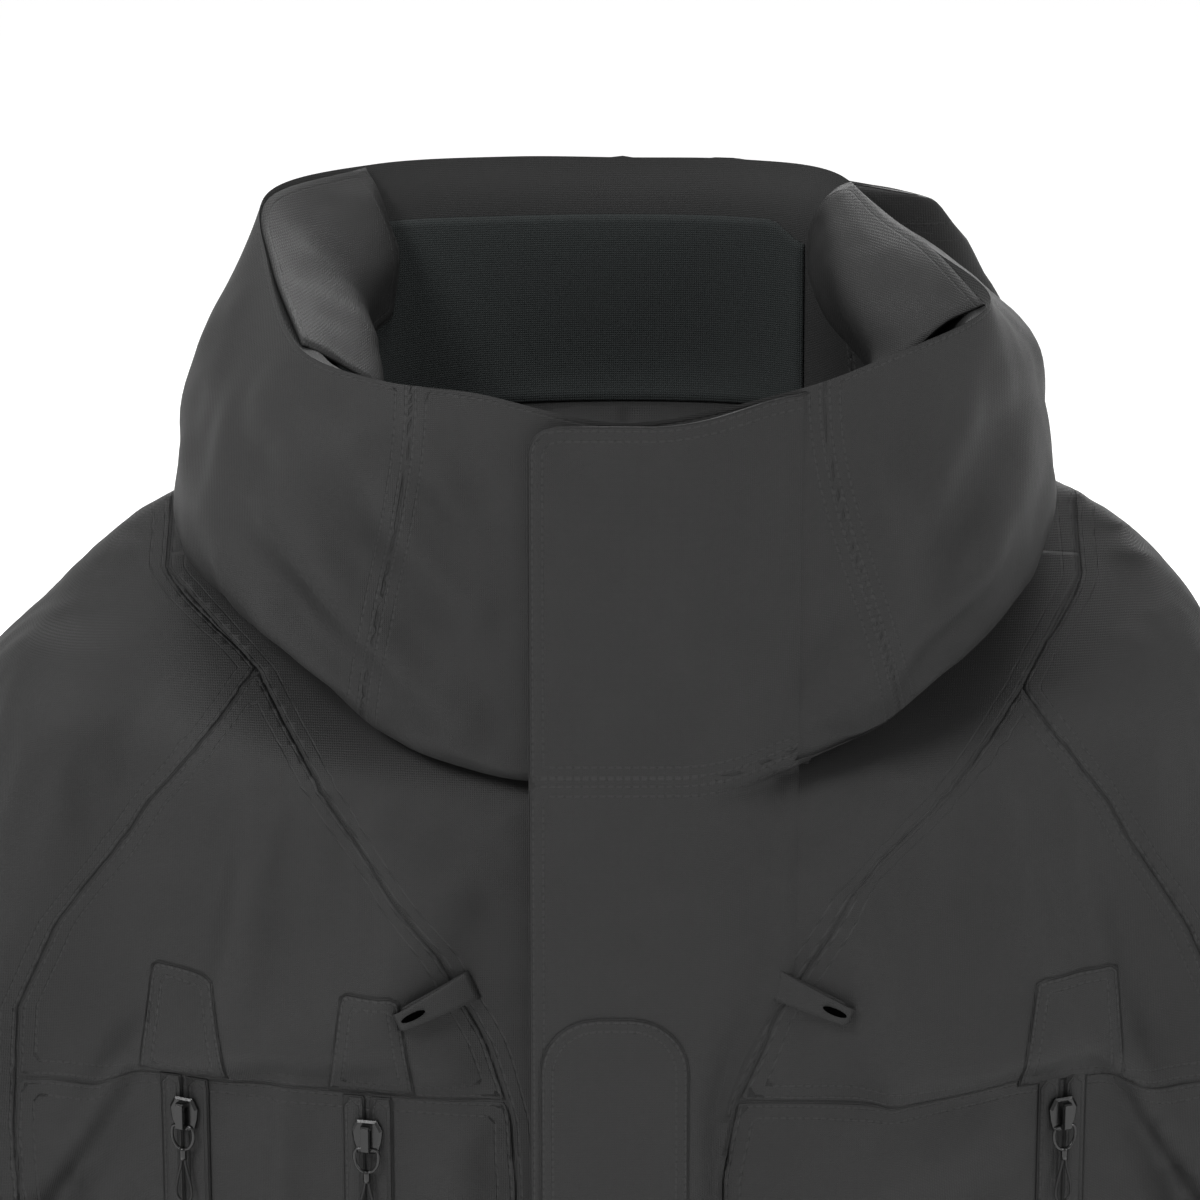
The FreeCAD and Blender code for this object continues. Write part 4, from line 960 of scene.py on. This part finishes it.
def patch(name, outline, lift, thickness, body, tree, step=3.0, nodes=()):
    """A patch of cloth laid on the surface in tree, seen from the front. outline is a list of (x, z)."""
    outline = np.array(outline, float)
    work = bmesh.new()
    ring = [work.verts.new((p[0] * MM, 0, p[1] * MM)) for p in outline]
    work.faces.new(ring)
    low, high = outline.min(0), outline.max(0)
    for axis, normal in ((0, (1, 0, 0)), (1, (0, 0, 1))):
        for value in np.arange(low[axis] + step, high[axis], step):
            place = Vector(normal) * (value * MM)
            bmesh.ops.bisect_plane(work, geom=work.verts[:] + work.edges[:] + work.faces[:], dist=1e-6,
                                   plane_co=place, plane_no=normal)
    mesh = bpy.data.meshes.new(name)
    work.to_mesh(mesh)
    work.free()
    obj = bpy.data.objects.new(name, mesh)
    bpy.context.scene.collection.objects.link(obj)
    mesh.materials.append(PATCH)
    closed = np.vstack([outline, outline[:1]])
    lengths = np.concatenate([[0], np.linalg.norm(np.diff(closed, axis=0), axis=1).cumsum()])
    seam, run, places = [], [], []
    for v in mesh.vertices:
        x, z = v.co.x / MM, v.co.z / MM
        a, b = closed[:-1], closed[1:]
        line = b - a
        t = np.clip((((x, z) - a) * line).sum(1) / np.maximum((line * line).sum(1), 1e-9), 0, 1)
        d = np.linalg.norm(a + t[:, None] * line - (x, z), axis=1)
        k = int(d.argmin())
        seam.append(d[k])
        run.append(lengths[k] + t[k] * np.linalg.norm(line[k]))
        y = front_hit(x, z, (tree,)).y - lift
        places.append(y + 0.7 * math.exp(-(d[k] / 1.2) ** 2))
    for v, y in zip(mesh.vertices, places):
        v.co.y = y * MM
    set_values(mesh, "seam", seam)
    set_values(mesh, "run", run)
    mesh.polygons.foreach_set("use_smooth", [True] * len(mesh.polygons))
    if mesh.polygons and sum(p.normal.y for p in mesh.polygons) > 0:
        mesh.flip_normals()
    thicken(obj, thickness)
    if nodes:
        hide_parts(*nodes)
    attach(obj, body)


def rounded(x0, x1, z0, z1, radii):
    """A box outline with rounded corners; radii for the corners from lower left, against the clock."""
    out = []
    for (cx, cz, start), r in zip(((x0, z0, 180), (x1, z0, 270), (x1, z1, 0), (x0, z1, 90)), radii):
        px = cx + r if cx == x0 else cx - r
        pz = cz + r if cz == z0 else cz - r
        for k in range(7):
            angle = math.radians(start + 15 * k)
            out.append((px + r * math.cos(angle), pz + r * math.sin(angle)))
            if r == 0:
                break
    return out


FLAP_TREE = ray_tree(points, grid_faces(rows, columns))
patch("chest_tab_cloth", rounded(-35, 27, -314, -164, (2, 2, 24, 24)), 2.7, 1.6, "flap", FLAP_TREE,
      nodes=("chest_tab",))

# ---- Hanging hood behind the collar ----
HOOD = [(142, 128, 6, 106), (135, 140, 13, 109), (100, 156, 24, 122), (51, 166, 30, 138), (8, 160, 30, 147),
        (-34, 148, 28, 151), (-60, 126, 21, 151), (-76, 94, 12, 147), (-82, 60, 4, 144)]


def hood_ring(z, half, depth, y, count=96):
    """A flattened oval whose ends come forward and, near the top, hang lower."""
    angle = np.linspace(0, 2 * math.pi, count, endpoint=False)
    x = half * np.sign(np.sin(angle)) * np.abs(np.sin(angle)) ** 0.85
    d = -depth * np.cos(angle)
    droop = 12 * (np.abs(x) / half) ** 2
    return np.stack([x, y + d - droop, z - droop * smooth(z, 60, 140)], 1)


spec = catmull(np.array(HOOD, float), 6)
hood = np.stack([hood_ring(*s) for s in spec])
hood_normals = grid_normals(hood)
if hood_normals[20, 48, 1] < 0:
    hood_normals = -hood_normals
wave = ripple(hood.reshape(-1, 3), 46, 2.3, 3).reshape(hood.shape[:2])
folds = np.sin(hood[:, :, 2] / 17 + 1.6 * wave + np.abs(hood[:, :, 0]) / 60) * smooth(hood[:, :, 2], 110, 60)
hood = hood + hood_normals * (wave * 6.5 + folds * 2.6)[..., None] * smooth(hood[:, :, 1], 96, 118)[..., None]
rows, columns = hood.shape[:2]
x, z = hood[..., 0], hood[..., 2]
seam = np.minimum(np.abs(np.abs(x) - 62), np.abs(z - 112) + 2)
run = np.where(np.abs(np.abs(x) - 62) < np.abs(z - 112) + 2, z, x)
points = hood.reshape(-1, 3)
faces = grid_faces(rows, columns, closed=True)
faces.append(tuple(range(columns)))
faces.append(tuple((rows - 1) * columns + j for j in range(columns))[::-1])
hood_cloth = new_object("hood_cloth", points, faces, COWL, {"seam": seam.ravel(), "run": run.ravel()})
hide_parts("hood", "hood_brim")
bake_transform(hood_cloth)


# ---- Chest zips ----
CHEST_ZIPS = ("right_outer", "right_inner", "left_outer")
JOINTS = {joint["name"]: joint for joint in frame["joints"]}


def hinge(pull):
    """The place of a pull's hinge in millimetres and its turn about a vertical line, from the frame."""
    joint = JOINTS[f"{pull}_swing"]
    turn = math.degrees(math.atan2(-joint["axis"][1], -joint["axis"][0]))
    return [value / MM for value in joint["pos_m"]], turn


def front_y(x):
    """Depth of the front's oval at distance x from the middle."""
    return -4 - 126 * math.sqrt(1 - (x / 266.0) ** 2)


def slider_piece(label, x, y, z, turn, body, node):
    """A lacquered slider: hexagonal plate, crown and bar over it."""
    def ring(points2, y0, y1, bevel):
        n = len(points2)
        centre = np.mean(points2, 0)
        outline = np.array(points2, float)
        small = centre + (outline - centre) * (1 - bevel / 6.0)
        rows_ = [(outline, y1), (outline, y0 + bevel), (small, y0)]
        verts, faces_ = [], []
        for shape, depth in rows_:
            verts += [(p[0], depth, p[1]) for p in shape]
        for i in range(2):
            for j in range(n):
                k = (j + 1) % n
                faces_.append((i * n + j, i * n + k, (i + 1) * n + k, (i + 1) * n + j))
        faces_.append(tuple(range(n)))
        faces_.append(tuple(2 * n + j for j in range(n))[::-1])
        return verts, faces_

    plate = [(-4.2, 0), (4.2, 0), (6.6, -4.6), (6.0, -9.5), (4.4, -15), (-4.4, -15), (-6.0, -9.5),
             (-6.6, -4.6)]
    made = []
    for name, outline, y0, y1, bevel in (
        ("plate", plate, -1.6, 0.4, 0.9), ("back", plate, 2.6, 4.2, 0.4),
        ("bar", [(-1.9, -1.6), (1.9, -1.6), (1.9, -13.4), (-1.9, -13.4)], -5.4, -3.4, 0.8),
        ("foot_top", [(-1.9, -1.6), (1.9, -1.6), (1.9, -4.0), (-1.9, -4.0)], -3.8, -1.0, 0.3),
        ("foot_low", [(-1.9, -11.6), (1.9, -11.6), (1.9, -13.4), (-1.9, -13.4)], -3.8, -1.0, 0.3),
        ("bridge", [(-0.8, -1.0), (0.8, -1.0), (0.8, -5.0), (-0.8, -5.0)], 0.2, 2.8, 0.1),
    ):
        verts, faces_ = ring(outline, y0, y1, bevel)
        part = new_object(f"{label}_{name}", turn_points(verts, x, y, z, turn), faces_, GLOSS, shade=False)
        made.append(part)
    obj = join(f"{label}_slider_metal", made)
    faces_outward(obj)
    bevel = obj.modifiers.new("soft", "BEVEL")
    bevel.width = 0.3 * MM
    bevel.segments = 2
    apply_modifiers(obj)
    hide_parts(node)
    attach(obj, body)


def pull_piece(label, x, y, z, turn, body, node):
    """A D-shaped ring, a ferrule and a thin teardrop of cord. Its origin is on the hinge line."""
    ring = [(-4.6, 0, 0), (-2.4, 0, 0.6), (0, 0, 0.7), (2.4, 0, 0.6), (4.6, 0, 0), (5.2, 0, -3),
            (4.6, 0, -6.4), (2.6, 0, -9.2), (0, 0, -10.0), (-2.6, 0, -9.2), (-4.6, 0, -6.4), (-5.2, 0, -3)]
    ring = catmull(ring, 3, closed=True)
    ferrule = [(0, 0, -9.4), (0, 0, -10.6), (0, 0, -12.6), (0, 0, -14.6)]
    drop = [(0.7, 0, -14.2), (1.3, 0, -18), (2.9, 0, -24), (3.7, 0, -29), (2.9, 0, -32.4), (0, 0, -34),
            (-2.9, 0, -32.4), (-3.7, 0, -29), (-2.9, 0, -24), (-1.3, 0, -18), (-0.7, 0, -14.2)]
    drop = catmull(drop, 4)
    metal = tube(f"{label}_ring", turn_points(ring, x, y, z, turn), 0.75, GLOSS, 8, closed=True)
    cap = tube(f"{label}_ferrule", turn_points(ferrule, x, y, z, turn), 1.5, GLOSS, 10)
    cord = tube(f"{label}_cord", turn_points(drop, x, y, z, turn), 0.62, CORD, 8)
    obj = join(f"{label}_pull_ring", [metal, cap, cord])
    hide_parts(node)
    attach(obj, body)


def zip_teeth(label, x, y, turn, low, high, node, pitch=2.9):
    """Two rows of moulded teeth, gripping the edges of their tapes."""
    verts, faces = [], []
    count = int((high - low) / pitch)
    cube = [(0, 1, 2, 3), (7, 6, 5, 4), (0, 4, 5, 1), (1, 5, 6, 2), (2, 6, 7, 3), (3, 7, 4, 0)]
    for row, side in ((0, -1), (1, 1)):
        for i in range(count):
            z = low + (i + 0.5 * row) * pitch
            first = len(verts)
            x0, x1, h = 0.3 * side, 3.1 * side, pitch * 0.27
            wide = pitch * 0.4
            for yy in (2.0, 3.9):
                verts += [(x0, yy, z - wide), (x0, yy, z + wide), (x1, yy, z + h), (x1, yy, z - h)]
            faces += [tuple(first + k for k in f) for f in cube]
    for z0 in (low - 1.5, high - 3.5):
        first = len(verts)
        for yy in (1.6, 4.2):
            verts += [(-3.2, yy, z0), (-3.2, yy, z0 + 5), (3.2, yy, z0 + 5), (3.2, yy, z0)]
        faces += [tuple(first + k for k in f) for f in cube]
    obj = new_object(f"{label}_zip_teeth", turn_points(verts, x, y, 0, turn), faces, TEETH, shade=False)
    faces_outward(obj)
    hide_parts(node)
    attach(obj, "jacket")


def zip_tape(label, x, y, turn, low, high, node, width=13.0):
    """Two ribbed tapes with a narrow gap under the teeth."""
    verts, faces = [], []
    steps = max(2, int((high - low) / 8))
    for side in (-1, 1):
        first = len(verts)
        for i in range(steps + 1):
            z = low + (high - low) * i / steps
            for d in (2.2, 4.0, 8.5, width):
                verts.append((side * d, 2.9 + 0.25 * math.sin(z / 9) * (d > 4), z))
        faces += [tuple(first + k for k in (f if side > 0 else f[::-1])) for f in grid_faces(steps + 1, 4)]
    obj = new_object(f"{label}_zip_tape", turn_points(verts, x, y, 0, turn), faces, TAPE)
    thicken(obj, 0.7, 1.0)
    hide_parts(node)
    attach(obj, "jacket")


def welt(label, x0, low, high):
    """The stitched strips each side of a chest zip."""
    for word, a, b in (("inner", -10.5, -1.1), ("outer", 1.1, 10.5)):
        patch(f"{label}_welt_{word}", rounded(x0 + a, x0 + b, low, high, (1, 1, 1, 1)), 1.5, 1.0, "jacket",
              SURFACE, step=4.0)


BAIL = 2.2
for label in CHEST_ZIPS:
    (x, bail_y, bail_z), turn = hinge(f"pull_{label}")
    y = front_y(x)
    zip_teeth(label, x, y, turn, -386, -208, f"zip_{label}_teeth")
    zip_tape(label, x, y, turn, -386, -207, f"zip_{label}_tape", 8.0)
    welt(label, x, -384, -207)
    slider_piece(label, x, y - 2.4, -217, turn, f"slider_{label}", f"zip_{label}_slider")
    pull_piece(label, x + BAIL * math.sin(math.radians(turn)), bail_y - BAIL, bail_z, turn, f"pull_{label}",
               f"zip_{label}_pull")

MAIN_LOW, MAIN_HIGH = -730, 80
(_, bail_y, bail_z), _ = hinge("main_pull")
zip_teeth("main", 0, FRONT_Y + 0.2, 0, MAIN_LOW, MAIN_HIGH, "main_zip_teeth", 4.2)
zip_tape("main", 0, FRONT_Y + 0.2, 0, MAIN_LOW, MAIN_HIGH, "main_zip_tape")
slider_piece("main", 0, FRONT_Y, 60, 0, "main_slider", "main_zip_slider")
pull_piece("main", 0, bail_y - 0.95, bail_z, 0, "main_pull", "main_zip_pull")

# trapezoid reinforcements above the zips
for label, outline in (
    ("right_outer", [(-205, -205), (-166, -205), (-172, -160), (-176, -158), (-196, -158), (-199, -160)]),
    ("right_inner", [(-124, -205), (-87, -205), (-93, -160), (-97, -158), (-115, -158), (-118, -160)]),
    ("left_outer", [(166, -210), (212, -210), (208, -160), (204, -158), (176, -158), (172, -160)]),
):
    patch(f"{label}_reinforcement", outline, 1.2, 1.0, "jacket", SURFACE)

# ---- Fabric loops beside the centre panel ----
LOOP_X, LOOP_Z, LOOP_TILT, LOOP_ROWS = 62, -154, math.radians(24), 7
# side view of the folded tape: length from its root and height off the cloth
LOOP_PROFILE = catmull([(0, 0.4), (10, -1.2), (22, -2.4), (31, -2.9), (34.2, -1.8), (34.8, 0.2), (33, 1.2),
                        (22, 0.8), (10, 0.6), (0, 1.4)], 4)


def on_loop(side, length, width):
    """x and z of a point on a loop, from its length along the loop and width across it."""
    return (side * (LOOP_X + length * math.cos(LOOP_TILT) + width * math.sin(LOOP_TILT)),
            LOOP_Z - length * math.sin(LOOP_TILT) + width * math.cos(LOOP_TILT))


for word, side in SIDES:
    root = front_hit(side * 64, -156, (SURFACE,)).y
    tip = front_hit(*on_loop(side, 32, 0), (SURFACE,)).y
    points = []
    for i in range(LOOP_ROWS):
        for a, b in LOOP_PROFILE:
            x, z = on_loop(side, a, (-6.5 + 13 * i / (LOOP_ROWS - 1)) * (1 - 0.42 * a / 35))
            points.append((x, root + (tip - root) * a / 33 - 1.2 + b, z))
    faces = grid_faces(LOOP_ROWS, len(LOOP_PROFILE))
    obj = new_object(f"fabric_loop_cloth_{word}", points, faces, SHELL_PLAIN)
    thicken(obj, 0.8, 0.0)
    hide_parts(f"fabric_loop_{word}")
    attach(obj, "jacket")
    # a near-black disc laid just in front of each loop's slot: painted shade standing in for the dark opening
    slit = []
    for turn in np.linspace(0, 2 * math.pi, 16, endpoint=False):
        a = 27.5 + 5.4 * math.cos(turn)
        x, z = on_loop(side, a, 1.5 * math.sin(turn))
        slit.append((x, root + (tip - root) * a / 33 - 4.55, z))
    obj = new_object(f"fabric_loop_slit_shade_{word}", slit, [tuple(range(16))], SLIT_SHADE)
    thicken(obj, 0.3, 0.0)
    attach(obj, "jacket")

# ---- Pieces kept from the frame, with better finishes ----
NODES = frame["nodes"]
FINISH = {
    "hem_band": SHELL_PLAIN, "hang_loop": WEB, "wind_guard": SHELL_PLAIN, "front_loop_patches": HOOKS,
    "flap_hook_patches": HOOKS, "pocket_bag_right": SHELL_PLAIN, "pocket_bag_left": SHELL_PLAIN,
    "cuff_tab_right": TAB, "cuff_tab_left": TAB,
}
for name, material in FINISH.items():
    mesh = NODES[name].data
    for i in range(max(1, len(mesh.materials))):
        if len(mesh.materials) <= i:
            mesh.materials.append(material)
        else:
            mesh.materials[i] = material

# ---- Stage, light and camera ----
floor_material = Nodes("pale_floor")
floor_material.shader.inputs["Base Color"].default_value = (0.9, 0.9, 0.9, 1)
floor_material.shader.inputs["Emission Color"].default_value = (1, 1, 1, 1)
floor_material.shader.inputs["Emission Strength"].default_value = 0.42
floor_material.shader.inputs["Roughness"].default_value = 0.9
FLOOR_Z, FAR = HEM_Z - 4, 6000
corners = [(x * FAR, y * FAR, FLOOR_Z) for x, y in ((-1, -1), (1, -1), (1, 1), (-1, 1))]
floor = new_object("floor", corners, [(0, 1, 2, 3)], floor_material.material, shade=False)

world = bpy.data.worlds.new("studio")
bpy.context.scene.world = world
world.use_nodes = True
sky = world.node_tree
way = sky.nodes.new("ShaderNodeTexCoord")
split = sky.nodes.new("ShaderNodeSeparateXYZ")
fall = sky.nodes.new("ShaderNodeMapRange")
sky.links.new(way.outputs["Generated"], split.inputs[0])
sky.links.new(split.outputs["Z"], fall.inputs[0])
for socket, value in zip(list(fall.inputs)[1:5], (0.12, 0.5, 0.98, 0.5)):
    socket.default_value = value
sky.links.new(fall.outputs[0], sky.nodes["Background"].inputs[1])
sky.nodes["Background"].inputs[0].default_value = (1, 1, 1, 1)


def aim(place, target):
    return (Vector(target) - Vector(place)).to_track_quat("-Z", "Y").to_euler()


def area_light(name, place, target, size, power):
    data = bpy.data.lights.new(name, "AREA")
    data.shape = "RECTANGLE"
    data.size, data.size_y = size
    data.energy = power
    light = bpy.data.objects.new(name, data)
    bpy.context.scene.collection.objects.link(light)
    light.location = place
    light.rotation_euler = aim(place, target)


area_light("key", (-1.7, -1.5, 1.9), (0, 0, -0.1), (0.9, 0.9), 95)
area_light("side", (2.2, -0.9, 0.9), (0, 0, -0.1), (0.8, 1.4), 30)
area_light("top", (0, 0.3, 2.4), (0, 0, 0), (1.6, 1.6), 40)
area_light("back", (0.4, 2.4, 1.2), (0, 0, -0.1), (1.6, 1.2), 40)

camera_data = bpy.data.cameras.new("camera")
camera_data.sensor_width = 36
camera_data.lens = 161
camera_data.clip_end = 60
camera = bpy.data.objects.new("camera", camera_data)
bpy.context.scene.collection.objects.link(camera)
camera.location = (-0.010, -2.204, 0.6465)
camera.rotation_euler = aim(camera.location, (-0.010, -0.100, 0.0035))
bpy.context.scene.camera = camera
bpy.context.scene.view_settings.view_transform = "Standard"
